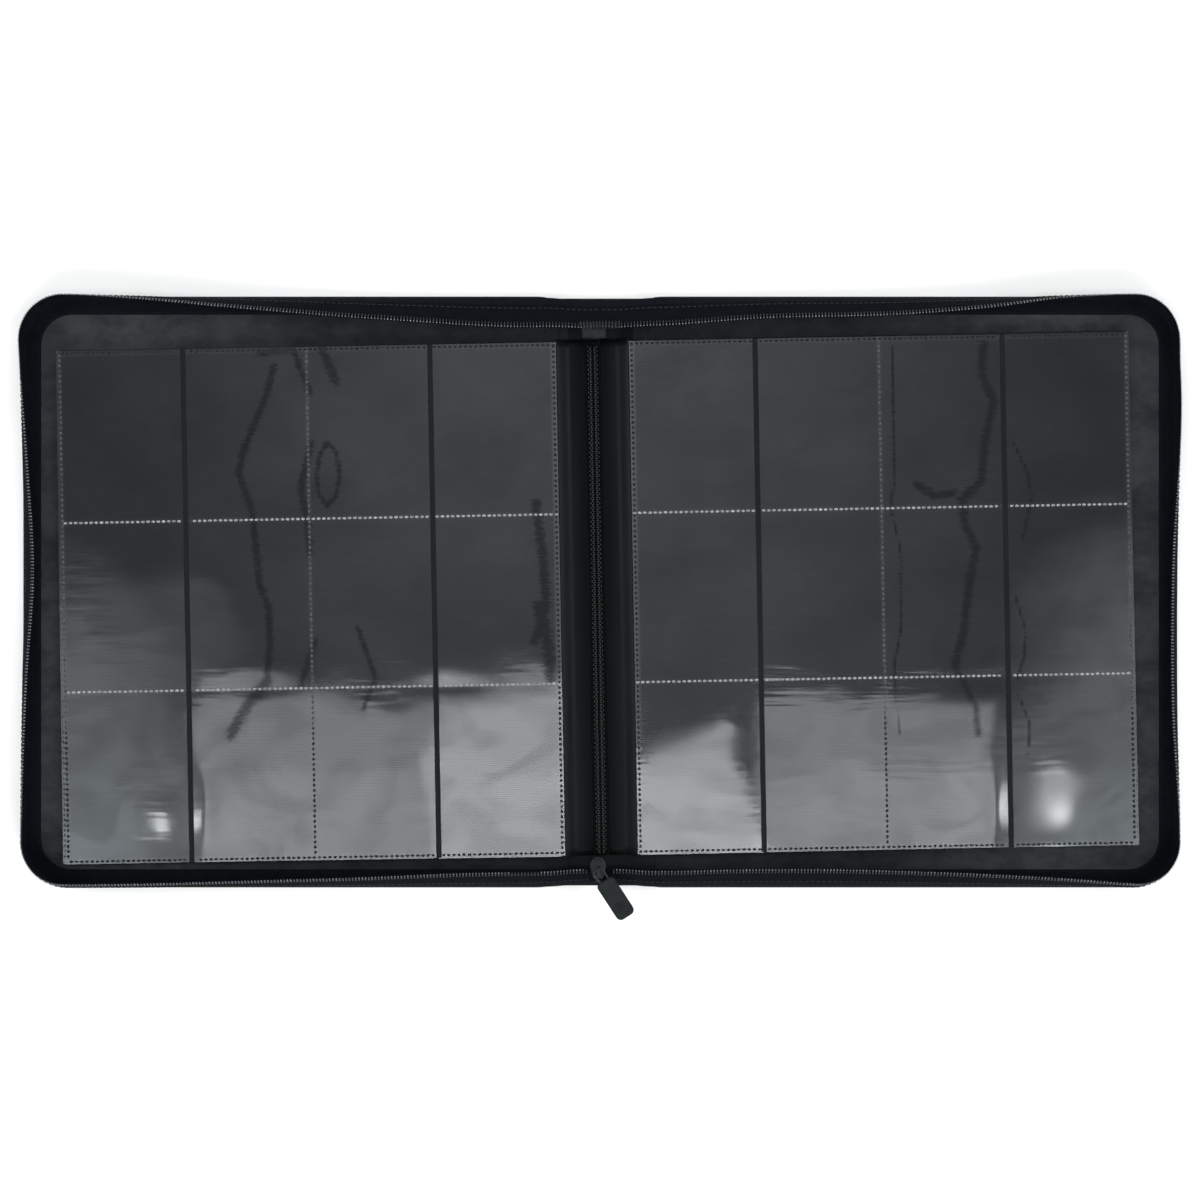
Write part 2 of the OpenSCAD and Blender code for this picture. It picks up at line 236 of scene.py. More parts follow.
def bead(length, width, height, rings=4, sides=6):
    """A small rounded bar along X, lying on its origin."""
    verts = []
    for i in range(rings):
        a = math.pi * (i + 0.5) / rings
        r = math.sin(a) ** 0.6
        for k in range(sides):
            b = 2 * math.pi * (k + 0.5) / sides
            verts.append((-math.cos(a) * length / 2, r * math.cos(b) * width / 2,
                          (1 + r * math.sin(b)) * height / 2))
    return verts, closed_faces(rings, sides)


def dome(radius, height, sides=8, rings=3):
    """A small low dome on its origin, open underneath."""
    verts = []
    for i in range(rings):
        a = math.pi / 2 * i / rings
        for k in range(sides):
            b = 2 * math.pi * k / sides
            verts.append((radius * math.cos(a) * math.cos(b), radius * math.cos(a) * math.sin(b),
                          height * math.sin(a)))
    faces = grid_faces(rings, sides, wrap=True)
    verts.append((0, 0, height))
    last = (rings - 1) * sides
    faces += [(last + k, last + (k + 1) % sides, len(verts) - 1) for k in range(sides)]
    return verts, faces


# ---------------------------------------------------------------- materials

class Graph:
    """A short way to write the nodes of a material or a world."""

    def __init__(self, owner, coordinate):
        owner.use_nodes = True
        self.tree = owner.node_tree
        self.coord = self.add("ShaderNodeTexCoord").outputs[coordinate]

    def add(self, kind, **values):
        """A new node. A keyword is an attribute of the node or, with _ for a space, one of its sockets."""
        node = self.tree.nodes.new(kind)
        for key, value in values.items():
            if hasattr(node, key):
                setattr(node, key, value)
            else:
                node.inputs[key.replace("_", " ")].default_value = value
        return node

    def link(self, source, target):
        self.tree.links.new(source, target)

    def axis(self, index, vector=None):
        """One coordinate of a vector, or of the place itself."""
        node = self.add("ShaderNodeSeparateXYZ")
        self.link(vector or self.coord, node.inputs[0])
        return node.outputs[index]

    def math(self, operation, a, b=None, c=None):
        node = self.add("ShaderNodeMath", operation=operation)
        for i, value in enumerate((a, b, c)):
            if value is None:
                continue
            if isinstance(value, (int, float)):
                node.inputs[i].default_value = value
            else:
                self.link(value, node.inputs[i])
        return node.outputs[0]

    def ramp(self, value, low, high, to_low=0.0, to_high=1.0):
        node = self.add("ShaderNodeMapRange", interpolation_type="SMOOTHSTEP", From_Min=low, From_Max=high,
                        To_Min=to_low, To_Max=to_high)
        self.link(value, node.inputs["Value"])
        return node.outputs[0]


class Nodes(Graph):
    """A node material, placed by the object's own coordinates."""

    def __init__(self, name):
        self.mat = bpy.data.materials.new(name)
        super().__init__(self.mat, "Object")
        self.bsdf = self.tree.nodes["Principled BSDF"]
        self.out = self.tree.nodes["Material Output"]

    def scaled(self, x, y, z, turn=0.0):
        node = self.add("ShaderNodeMapping", Scale=(x, y, z), Rotation=(0, 0, turn))
        self.link(self.coord, node.inputs["Vector"])
        return node.outputs["Vector"]

    def even(self, size):
        return self.scaled(size, size, size)

    def noise(self, vector, detail=4.0, rough=0.55, distortion=0.0):
        node = self.add("ShaderNodeTexNoise", Scale=1.0, Detail=detail, Roughness=rough,
                        Distortion=distortion)
        self.link(vector, node.inputs["Vector"])
        return node.outputs["Fac"]

    def cells(self, vector, feature="F1"):
        node = self.add("ShaderNodeTexVoronoi", feature=feature, Scale=1.0)
        self.link(vector, node.inputs["Vector"])
        return node.outputs["Distance"]

    def lines(self, axis, pitch, turn=0.0):
        """A wave from 0 to 1 across lines of the given pitch."""
        times = self.math("MULTIPLY", self.axis(axis, self.scaled(1, 1, 1, turn)), 2 * math.pi / pitch)
        return self.math("MULTIPLY_ADD", self.math("SINE", times), 0.5, 0.5)

    def mix(self, factor, a, b):
        node = self.add("ShaderNodeMix", data_type="RGBA")
        if isinstance(factor, float):
            node.inputs["Factor"].default_value = factor
        else:
            self.link(factor, node.inputs["Factor"])
        for socket, colour in (("A", a), ("B", b)):
            target = [i for i in node.inputs if i.name == socket and i.type == "RGBA"][0]
            if isinstance(colour, tuple):
                target.default_value = (*colour, 1)
            else:
                self.link(colour, target)
        return [o for o in node.outputs if o.type == "RGBA"][0]

    def mix_shader(self, *sources):
        """Two shaders mixed: the factor, then the shaders."""
        node = self.add("ShaderNodeMixShader")
        for source, socket in zip(sources, node.inputs):
            self.link(source, socket)
        return node.outputs[0]

    def bump(self, height, distance, strength=1.0, normal=None):
        node = self.add("ShaderNodeBump", Distance=distance, Strength=strength)
        self.link(height, node.inputs["Height"])
        if normal is not None:
            self.link(normal, node.inputs["Normal"])
        return node.outputs["Normal"]

    def set(self, **values):
        """Sets the shader's sockets, then gives back the material."""
        for key, value in values.items():
            socket = self.bsdf.inputs[key.replace("_", " ")]
            if isinstance(value, tuple):
                socket.default_value = (*value, 1)
            elif isinstance(value, (int, float)):
                socket.default_value = value
            else:
                self.link(value, socket)
        return self.mat


def leather():
    """Black grained polyurethane leather."""
    n = Nodes("pu_leather")
    cells = n.cells(n.even(900), "SMOOTH_F1")
    fine = n.noise(n.even(2600), 3.0)
    wear = n.noise(n.even(45), 5.0, 0.6)
    colour = n.mix(n.ramp(wear, 0.35, 0.75), (0.0022, 0.0034, 0.0052), (0.0058, 0.0076, 0.0102))
    grain = n.math("MULTIPLY_ADD", fine, 0.25, n.ramp(cells, 0.0, 0.65))
    rough = n.ramp(wear, 0.3, 0.7, 0.42, 0.56)
    return n.set(Base_Color=colour, Roughness=rough, Normal=n.bump(grain, 0.00012, 0.8),
                 Specular_IOR_Level=0.12)


def woven(name, dark, light, pitch, turn, rough=0.85, sheen=0.004):
    """Woven cloth: two sets of crossing yarns, with uneven colour."""
    n = Nodes(name)
    a, b = n.lines(0, pitch, turn), n.lines(1, pitch, turn)
    c = n.lines(2, pitch)
    weave = n.math("MULTIPLY", n.math("ADD", a, b), n.math("MULTIPLY_ADD", c, 0.5, 0.5))
    lint = n.noise(n.even(300), 5.0, 0.6)
    tone = n.math("MULTIPLY_ADD", weave, 0.3, n.math("MULTIPLY", lint, 0.6))
    colour = n.mix(n.ramp(tone, 0.15, 0.95), dark, light)
    return n.set(Base_Color=colour, Roughness=rough, Normal=n.bump(weave, 0.00015, 0.7),
                 Sheen_Weight=sheen, Specular_IOR_Level=0.03)


def napped_lining():
    """Charcoal microfibre whose nap lies this way and that, with painted shade darkening it towards the spine
    under the leaning zip walls.
    """
    n = Nodes("napped_lining")
    patches = n.noise(n.scaled(22, 34, 22), 4.0, 0.6, 0.6)
    fibre = n.noise(n.scaled(1500, 900, 1500), 3.0, 0.7)
    cloud = n.noise(n.scaled(90, 120, 90), 5.0, 0.65)
    tone = n.math("MULTIPLY_ADD", patches, 0.6, n.math("MULTIPLY", cloud, 0.4))
    colour = n.mix(n.ramp(tone, 0.33, 0.67), (0.0170, 0.0195, 0.0220), (0.0470, 0.0520, 0.0545))
    colour = n.mix(n.math("MULTIPLY", fibre, 0.3), colour, (0.040, 0.044, 0.048))
    # Painted shade: towards the spine the colour darkens, standing in for the shade under the leaning zip walls.
    outer = n.ramp(n.math("ABSOLUTE", n.axis(0)), 0.13, 0.25, 0.45, 1.0)
    colour = n.mix(outer, (0.002, 0.003, 0.004), colour)
    return n.set(Base_Color=colour, Roughness=0.92, Normal=n.bump(fibre, 0.00012, 0.6),
                 Sheen_Weight=0.03, Specular_IOR_Level=0.06)


def smooth_sheet(name, inner=None):
    """Soft black sheet, faintly streaked. Given an inner colour, it darkens to that at the binding: painted
    shade of the gutter between the stacks of leaves.
    """
    n = Nodes(name)
    streak = n.noise(n.scaled(120, 14, 120), 4.0, 0.6)
    fine = n.noise(n.even(1400), 2.0)
    colour = n.mix(n.ramp(streak, 0.35, 0.7), (0.0034, 0.0044, 0.0050), (0.0064, 0.0080, 0.0087))
    shine = 0.10
    if inner is not None:
        # Painted shade: the colour darkens and the shine drops towards the binding, standing in for the shaded
        # gutter.
        across = n.math("MULTIPLY_ADD", n.axis(0), float(ACROSS[0]), float(-TURN[:2] @ ACROSS[:2]))
        across = n.math("ABSOLUTE", n.math("MULTIPLY_ADD", n.axis(1), float(ACROSS[1]), across))
        colour = n.mix(n.ramp(across, 3 * MM, LEAF_U0), inner, colour)
        shine = n.ramp(across, 3 * MM, LEAF_U0, 0.04, 0.12)
    return n.set(Base_Color=colour, Roughness=n.ramp(streak, 0.3, 0.7, 0.42, 0.55),
                 Normal=n.bump(fine, 0.00005, 0.5), Specular_IOR_Level=shine)


def ribbed_backing(name, dark, light, shine):
    """The dark slate sheet behind the pockets, with very fine ribs across the leaf."""
    n = Nodes(name)
    skew = math.atan2(ACROSS[1], ACROSS[0])
    ribs = n.lines(1, 1.25 * MM, -skew)
    cloud = n.noise(n.scaled(30, 18, 30), 5.0, 0.6)
    grit = n.noise(n.scaled(900, 1500, 900), 2.0)
    specks = n.math("MULTIPLY_ADD", cloud, 0.5, n.math("MULTIPLY", grit, 0.25))
    tone = n.math("MULTIPLY_ADD", ribs, 0.35, specks)
    colour = n.mix(n.ramp(tone, 0.2, 0.9), dark, light)
    return n.set(Base_Color=colour, Roughness=0.6, Normal=n.bump(ribs, 0.00008, 0.5),
                 Specular_IOR_Level=shine)


def clear_film():
    """Clear glossy film. It hazes what is behind it, less on the outer columns, and hardly at all in
    ragged marks where it clings to the sheet."""
    n = Nodes("clear_film")
    ragged = n.noise(n.scaled(260, 1100, 300), 3.0, 0.65)
    marks = n.add("ShaderNodeAttribute", attribute_name="cling").outputs["Fac"]
    cling = n.ramp(n.math("MULTIPLY_ADD", n.math("SUBTRACT", ragged, 0.5), 1.8, marks), 0.22, 0.85)
    weld = n.add("ShaderNodeAttribute", attribute_name="weld").outputs["Fac"]
    drift = n.noise(n.scaled(16, 20, 16), 3.0, 0.5)
    ripple = n.noise(n.scaled(30, 240, 60), 1.5, 0.5)
    wave = n.noise(n.scaled(12, 18, 14), 1.0, 0.4)
    normal = n.bump(wave, 0.0005, 0.5)
    normal = n.bump(n.math("MULTIPLY", ripple, n.ramp(drift, 0.45, 0.62)), 0.00012, 0.30, normal)
    haze = n.add("ShaderNodeBsdfDiffuse", Color=(0.72, 0.78, 0.81, 1))
    gloss = n.add("ShaderNodeBsdfGlossy", Color=(0.96, 0.98, 1.0, 1), Roughness=0.05)
    clear = n.add("ShaderNodeBsdfTransparent")
    fresnel = n.add("ShaderNodeFresnel", IOR=1.62)
    for node in (gloss, fresnel):
        n.link(normal, node.inputs["Normal"])
    inner = n.ramp(n.math("ABSOLUTE", n.axis(0)), 0.10, 0.27, 1.0, 0.65)
    even = n.math("MULTIPLY", inner, n.ramp(drift, 0.3, 0.7, 0.024, 0.033))
    amount = n.math("MULTIPLY", even, n.math("MULTIPLY_ADD", cling, -0.75, 1.0))
    veil = n.mix_shader(n.math("MULTIPLY_ADD", n.ramp(weld, 0.0, 0.6), 0.045, amount),
                        clear.outputs[0], haze.outputs[0])
    swirl = n.noise(n.scaled(20, 30, 22), 2.0, 0.5, 1.5)
    shine = n.math("MULTIPLY", fresnel.outputs[0], n.math("MULTIPLY_ADD", cling, -0.95, 1.45))
    shine = n.math("MULTIPLY", shine, n.ramp(swirl, 0.36, 0.62, 0.84, 1.06))
    n.link(n.mix_shader(shine, veil, gloss.outputs[0]), n.out.inputs["Surface"])
    n.tree.nodes.remove(n.bsdf)
    return n.mat


def weld_plastic(name, dark, light, rough):
    """Film whitened by the welding tool. Its pale and bright copies add painted light and painted glints to the
    same welds.
    """
    n = Nodes(name)
    tone = n.noise(n.even(700), 3.0)
    colour = n.mix(n.ramp(tone, 0.3, 0.7), dark, light)
    return n.set(Base_Color=colour, Roughness=rough, Normal=n.bump(tone, 0.00005, 0.5),
                 Specular_IOR_Level=0.08)


def nylon_coil(name, dark, light):
    n = Nodes(name)
    tone = n.noise(n.even(500), 3.0)
    colour = n.mix(n.ramp(tone, 0.3, 0.7), dark, light)
    return n.set(Base_Color=colour, Roughness=n.ramp(tone, 0.3, 0.7, 0.26, 0.40),
                 Normal=n.bump(tone, 0.00004, 0.5), Specular_IOR_Level=0.4)


def thread(name, dark, light):
    n = Nodes(name)
    twist = n.lines(0, 0.5 * MM, 0.7)
    fuzz = n.noise(n.even(1200), 3.0)
    colour = n.mix(n.math("MULTIPLY_ADD", twist, 0.5, n.math("MULTIPLY", fuzz, 0.5)), dark, light)
    return n.set(Base_Color=colour, Roughness=0.55, Normal=n.bump(twist, 0.00006, 0.7))


def enamelled_metal(name, dark, light):
    """Black enamel over zinc, rubbed a little towards bare metal in places."""
    n = Nodes(name)
    wear = n.noise(n.even(260), 5.0, 0.65)
    peel = n.noise(n.even(1100), 2.0)
    colour = n.mix(n.ramp(wear, 0.62, 0.78), dark, light)
    return n.set(Base_Color=colour, Roughness=n.ramp(wear, 0.3, 0.75, 0.30, 0.45),
                 Normal=n.bump(peel, 0.00003, 0.5), Specular_IOR_Level=0.25)


def moulded_rubber():
    n = Nodes("moulded_rubber")
    grain = n.noise(n.even(1500), 3.0, 0.6)
    dust = n.noise(n.even(120), 5.0, 0.65)
    colour = n.mix(n.ramp(dust, 0.35, 0.75), (0.0070, 0.0088, 0.0102), (0.0135, 0.0160, 0.0175))
    return n.set(Base_Color=colour, Roughness=n.ramp(dust, 0.3, 0.7, 0.55, 0.7),
                 Normal=n.bump(grain, 0.00006, 0.7), Specular_IOR_Level=0.15)


def grey_board():
    n = Nodes("pressed_board")
    fibre = n.noise(n.even(500), 5.0, 0.7)
    colour = n.mix(n.ramp(fibre, 0.3, 0.7), (0.12, 0.115, 0.105), (0.20, 0.19, 0.175))
    return n.set(Base_Color=colour, Roughness=0.9, Normal=n.bump(fibre, 0.0001, 0.5))


def white_floor():
    n = Nodes("white_sweep")
    tone = n.noise(n.even(3), 3.0)
    colour = n.mix(n.ramp(tone, 0.3, 0.7), (0.90, 0.90, 0.90), (0.92, 0.92, 0.92))
    far = n.add("ShaderNodeVectorMath", operation="LENGTH")
    n.link(n.coord, far.inputs[0])
    return n.set(Base_Color=colour, Roughness=0.85,
                 Specular_IOR_Level=0.1, Emission_Color=(1.0, 1.0, 1.0),
                 Emission_Strength=n.ramp(far.outputs["Value"], 1.4, 4.0, 0.0, 1.0))


LEATHER = leather()
GUSSET_CLOTH = woven("gusset_nylon", (0.0030, 0.0042, 0.0060), (0.0078, 0.0104, 0.0140), 0.55 * MM, 0.785)
TAPE_CLOTH = woven("zip_tape_twill", (0.0020, 0.0028, 0.0042), (0.0052, 0.0070, 0.0098), 0.42 * MM, 0.4)
TAB_CLOTH = woven("tab_cloth", (0.0100, 0.0115, 0.0125), (0.0330, 0.0360, 0.0385), 0.5 * MM, 0.785)
LINING = napped_lining()
SHEET = smooth_sheet("smooth_black_sheet")
# The inner colours are painted gutter shade: on the margins it darkens the sheet towards the binding, and on the
# binding it darkens the black cloth further.
MARGIN = smooth_sheet("leaf_margin_sheet", (0.0016, 0.0022, 0.0026))
BINDING = smooth_sheet("binding_cloth", (0.0006, 0.0009, 0.0011))
BACKING = ribbed_backing("ribbed_backing", (0.0050, 0.0062, 0.0073), (0.0100, 0.0120, 0.0138), 0.08)
LOWER_SHEET = ribbed_backing("lower_sheet", (0.0055, 0.0068, 0.0078), (0.0110, 0.0132, 0.0146), 0.08)
FILM = clear_film()
# The same weld plastic in three tones: the pale one adds painted light and the bright one painted glints.
WELD = weld_plastic("welded_dots", (0.0060, 0.0072, 0.0084), (0.0240, 0.0270, 0.0290), 0.55)
LIT_COLUMN_WELD = weld_plastic("painted_lit_column_welds", (0.026, 0.030, 0.033), (0.085, 0.093, 0.098), 0.45)
GLINT_ROW_WELD = weld_plastic("painted_glint_row_welds", (0.13, 0.14, 0.145), (0.34, 0.355, 0.36), 0.3)
COIL = nylon_coil("nylon_coil", (0.0030, 0.0040, 0.0060), (0.0100, 0.0120, 0.0160))
# A lighter copy of the coil's nylon, for painted highlights on the loops.
COIL_GLINTS = nylon_coil("nylon_coil_painted_glints", (0.075, 0.085, 0.097), (0.270, 0.290, 0.310))
BLACK_THREAD = thread("black_thread", (0.0018, 0.0024, 0.0034), (0.0055, 0.0065, 0.0080))
GREY_THREAD = thread("grey_thread", (0.005, 0.0068, 0.008), (0.032, 0.038, 0.041))
ENAMEL = enamelled_metal("enamelled_zinc", (0.0060, 0.0072, 0.0084), (0.030, 0.033, 0.036))
RUBBED = enamelled_metal("rubbed_enamel", (0.0160, 0.0180, 0.0200), (0.065, 0.069, 0.073))
RUBBER = moulded_rubber()
BOARD = grey_board()


# ---------------------------------------------------------------- the zip walls

class Wall:
    """The wall on one side: its foot runs from the middle of the head of the spine, out along the
    cover, round the fore edge, and back to the middle of the tail."""

    def __init__(self, name):
        self.name, self.side = name, SIDES[name]
        self.reach = REACH - FOOT_INSET
        self.top = HALF_H - FOOT_INSET
        self.r = CORNER_R - FOOT_INSET
        self.arc = self.r * math.pi / 2
        self.straight = self.reach - self.r
        self.side_len = 2 * (self.top - self.r)
        self.length = 2 * (self.straight + self.arc) + self.side_len

    def foot(self, t):
        """The foot and the way in over the cover, t metres along the wall."""
        a, b = self.straight, self.straight + self.arc
        c, d = b + self.side_len, b + self.side_len + self.arc
        dip = (HALF_H - SPINE_HALF_H) * (1 - smooth_step((min(t, self.length - t) - END_FLAT) / DIP_BLEND))
        if t <= a:
            p, n = (t, self.top - dip), (0, -1)
        elif t <= b:
            g = (t - a) / self.r
            p = (a + self.r * math.sin(g), self.top - self.r + self.r * math.cos(g))
            n = (-math.sin(g), -math.cos(g))
        elif t <= c:
            p, n = (self.reach, self.top - self.r - (t - b)), (-1, 0)
        elif t <= d:
            g = (t - c) / self.r
            p = (a + self.r * math.cos(g), -self.top + self.r - self.r * math.sin(g))
            n = (-math.cos(g), math.sin(g))
        else:
            p, n = (self.length - t, -self.top + dip), (0, 1)
        return np.array([self.side * p[0], p[1]]), np.array([self.side * n[0], n[1]])

    def lean_and_rise(self, t):
        lean = float(smooth_lookup(t / MM - COVER_START / MM, LEANS[self.name])) * MM
        to_head = 1 - smooth_step((t - END_FLAT) / END_BLEND)
        to_tail = 1 - smooth_step((self.length - t - END_FLAT) / END_BLEND)
        dev = WALL_DEV + (HEAD_DEV - WALL_DEV) * to_head + (TAIL_DEV - WALL_DEV) * to_tail
        return lean, math.sqrt(dev**2 - lean**2)

    def profile(self, t, shares):
        """Points of the wall at shares of its height, as (distance in from the foot, height)."""
        lean, rise = self.lean_and_rise(t)
        shares = np.asarray(shares, float)
        return np.stack([lean * shares**WALL_CURVE, COVER_TOP + rise * shares], axis=1)

    def place(self, t, points):
        """Points (in from the foot, height) of one section, in the row frame."""
        foot, inward = self.foot(t)
        points = np.asarray(points)
        xy = foot + points[:, :1] * inward
        return np.column_stack([xy, points[:, 1]])

    def stations(self, step):
        """Places along the wall, closer together round the corners and the ends of the spine."""
        places, t = [0.0], 0.0
        while t < self.length:
            corner = any(abs(t - c) < self.arc * 0.75 for c in (
                self.straight + self.arc / 2, self.length - self.straight - self.arc / 2))
            ends = min(t, self.length - t) < 45 * MM
            t += step * (0.35 if corner or ends else 1)
            places.append(min(t, self.length))
        return places

    def strip(self, name, low, high, thick, offset, material, steps=9, flange=False):
        """A strip of the wall between two shares of its height, shifted out by an offset."""
        sections = []
        for t in self.stations(6 * MM):
            line = self.profile(t, np.linspace(low, high, steps))
            if flange:
                base = COVER_TOP + thick * 0.5 + 0.05 * MM
                turn = [(FLANGE_W * (1 - k / 6), base) for k in range(6)]
                turn += [(0.9 * MM, base + 0.15 * MM), (0.25 * MM, base + 0.6 * MM)]
                line = np.concatenate([turn, line[1:]])
            d = np.gradient(line, axis=0)
            normal = unit_rows(np.stack([d[:, 1], -d[:, 0]], axis=1))
            sections.append(self.place(t, ribbon_loop(line - normal * offset, thick)))
        return sweep(name, sections, material)

    def axes(self, t, share):
        """A point on the wall, with the ways along it, up it and out of it."""
        before, after = (self.place(t + d, self.profile(t + d, [share])) for d in (-1e-4, 1e-4))
        along = unit((after - before)[0])
        low, high = self.place(t, self.profile(t, [share - 0.02, min(share + 0.02, 1.02)]))
        up = unit(high - low)
        return (low + high) / 2, along, up, unit(np.cross(along, up) * -self.side)


def bends_with_cover(obj):
    """The piece crosses the hinge between the spine and a cover. Its placement is only baked into its mesh: it
    rides on no body and does not bend.
    """
    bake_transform(obj)
    return obj


def zip_teeth(wall, name):
    """The row of coil loops along the top of the wall, each a small rounded bar across the edge, with a lighter
    bead on its top end as a painted highlight.
    """
    bars, glint_tips = [], []
    count = int((wall.length - 8 * MM) / TOOTH_PITCH)
    for i in range(count):
        t = 1.2 * MM + i * (wall.length - 7 * MM) / count
        origin, along, up, out = wall.axes(t, TAPE_SHARE)
        bars.append((origin + out * 0.35 * MM, up, along, out))
        to_tail = wall.length - t
        sunk = 0.7 * MM if wall.side < 0 and SLIDER_PASS[0] < to_tail < SLIDER_PASS[1] else 0.0
        # Painted highlights: a lighter bead at the top of each loop stands in for the glint on its curve.
        if to_tail > 9 * MM:
            glint_tips.append((origin + up * (1.3 * MM - sunk) + out * 0.5 * MM, up, along, out))
    return (scatter(name, bars, bead(3.0 * MM, 0.95 * MM, 1.1 * MM), COIL),
            scatter(f"{name}_tips", glint_tips, bead(0.75 * MM, 0.70 * MM, 0.85 * MM), COIL_GLINTS))


def stitch_row(wall, name, share, offset):
    shape = bead(2.2 * MM, 0.5 * MM, 0.35 * MM, rings=4, sides=5)
    places = []
    for i in range(int(wall.length / STITCH_PITCH) - 1):
        origin, along, up, out = wall.axes(2 * MM + i * STITCH_PITCH, share)
        places.append((origin + out * offset, along, up, out))
    return scatter(name, places, shape, BLACK_THREAD)


def make_wall(name):
    wall = Wall(name)
    gusset = wall.strip(f"{name}_gusset_cloth", 0.0, GUSSET_SHARE + GUSSET_LAP, 0.7 * MM, 0.0,
                        GUSSET_CLOTH, flange=True)
    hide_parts(f"{name}_zip_gusset")
    tape = wall.strip(f"{name}_tape_cloth", GUSSET_SHARE - TAPE_LAP, TAPE_SHARE, 0.5 * MM, 0.62 * MM,
                      TAPE_CLOTH)
    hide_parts(f"{name}_zip_tape")
    teeth, glint_tips = zip_teeth(wall, f"{name}_coil_teeth")
    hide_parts(f"{name}_zip_teeth")
    cord = wall.strip(f"{name}_teeth_cord", TAPE_SHARE - 0.01, CORD_SHARE, 0.8 * MM, 0.3 * MM, TAPE_CLOTH, 3)
    seam = stitch_row(wall, f"{name}_seam_stitches", GUSSET_SHARE + 0.02, 0.9 * MM)
    for piece, slot_name in ((gusset, "gusset_cloth"), (tape, "zip_tape"), (teeth, "zip_teeth"),
                             (glint_tips, "zip_teeth"), (cord, "zip_tape"), (seam, "gusset_cloth")):
        bends_with_cover(piece)
    return wall


WALLS = {name: make_wall(name) for name in SIDES}
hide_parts("top_end_gusset", "bottom_end_gusset")
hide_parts("top_end_tape", "bottom_end_tape")
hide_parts("top_end_teeth")


# ---------------------------------------------------------------- covers and spine

def outline(inner, reach, half_h, r, inset, arc_steps=12):
    """A cover's outline, inset all round, anticlockwise from its lower inner corner."""
    inner, reach, half_h = inner + inset, reach - inset, half_h - inset
    r = max(r - inset, 0.4 * MM)
    dips = [(0.0, 1.5), (1.5, 0.95), (4.0, 0.3), (7.0, 0.05), (10.0, 0.0)]
    points = [(inner + d * MM, -half_h + drop * MM) for d, drop in dips]
    points += arc(reach - r, -half_h + r, r, -90, arc_steps) + arc(reach - r, half_h - r, r, 0, arc_steps)
    points += [(inner + d * MM, half_h - drop * MM) for d, drop in reversed(dips)]
    return points


def shell(name, side, inner, reach, half_h, r, thick, material):
    """The outer skin: a tray with turned edges, and a sewn groove near the edge of its outer face."""
    steps = [(2.0, 0.8), (2.0, thick - 0.1), (1.6, thick), (0.8, thick - 0.02), (0.25, thick - 0.35),
             (0.0, thick - 1.0), (0.0, 1.1), (0.25, 0.45), (0.8, 0.08), (1.5, 0.0), (3.2, 0.0),
             (3.5, 0.22), (4.3, 0.22), (4.6, 0.0)]
    rows = [[(side * x, y, z * MM) for x, y in outline(inner, reach, half_h, r, inset * MM)]
            for inset, z in steps]
    obj = sweep(name, rows, material, smooth=False)
    obj.data.polygons.foreach_set("use_smooth", [len(p.vertices) == 4 for p in obj.data.polygons])
    return obj


def edge_stitches(name, side, inner, reach, half_h, r):
    """Stitches in the groove, all round the cover but its hinge side."""
    line = np.array(outline(inner, reach, half_h, r, 3.9 * MM, 16))
    steps = np.linalg.norm(np.diff(line, axis=0), axis=1)
    far = np.concatenate([[0], np.cumsum(steps)])
    places = []
    for s in np.arange(3 * MM, far[-1] - 3 * MM, 3.6 * MM):
        a, b = (np.array([np.interp(s + d, far, line[:, 0]), np.interp(s + d, far, line[:, 1])])
                for d in (-0.5 * MM, 0.5 * MM))
        along = unit(np.array([side * (b - a)[0], (b - a)[1], 0]))
        origin = np.array([side * (a + b)[0] / 2, (a + b)[1] / 2, 0.03 * MM])
        places.append((origin, along, np.array([-along[1], along[0], 0]), Z_AXIS))
    return scatter(name, places, bead(2.6 * MM, 0.55 * MM, 0.3 * MM, 4, 6), BLACK_THREAD)


def lining_sheet(name, side, inner, reach, half_h, r, top, thick, wave, material):
    """A thin sheet glued over a board, its upper face a little uneven."""
    rings = [0.0, 0.25, 0.8, 2.0, 6.0, 14.0, 26.0, 45.0, 70.0, 100.0, 130.0]
    rows = []
    limit = min(half_h, (reach - inner) / 2) / MM - 4
    rings = [x for x in rings if x < limit]
    for k, inset in enumerate(rings):
        drop = (0.25, 0.08, 0.0)[k] * MM if k < 3 else 0
        edge = outline(inner, reach, half_h, r, inset * MM, 10)
        rows.append([(side * x, y, top - drop + (wave(x, y) * 0.10 * MM if k > 3 else 0)) for x, y in edge])
    bottom = [(side * x, y, top - thick) for x, y in outline(inner, reach, half_h, r, 0.1 * MM, 10)]
    rows.insert(0, bottom)
    return sweep(name, rows, material)


def bent_strip(name, side, x0, x1, half_h, z, thick, material, sag=0.0):
    """A thin strip that bridges the hinge, from the spine to a cover, sagging into a groove."""
    xs = np.linspace(x0, x1, 13)
    middle = (x0 + x1) / 2
    line = [(x, z + sag * math.cos(math.pi / 2 * (x - middle) / (x1 - middle))) for x in xs]
    loop = ribbon_loop(line, thick)
    sections = [[(side * x, y, zz) for x, zz in loop] for y in np.linspace(-half_h, half_h, 15)]
    return sweep(name, sections, material)


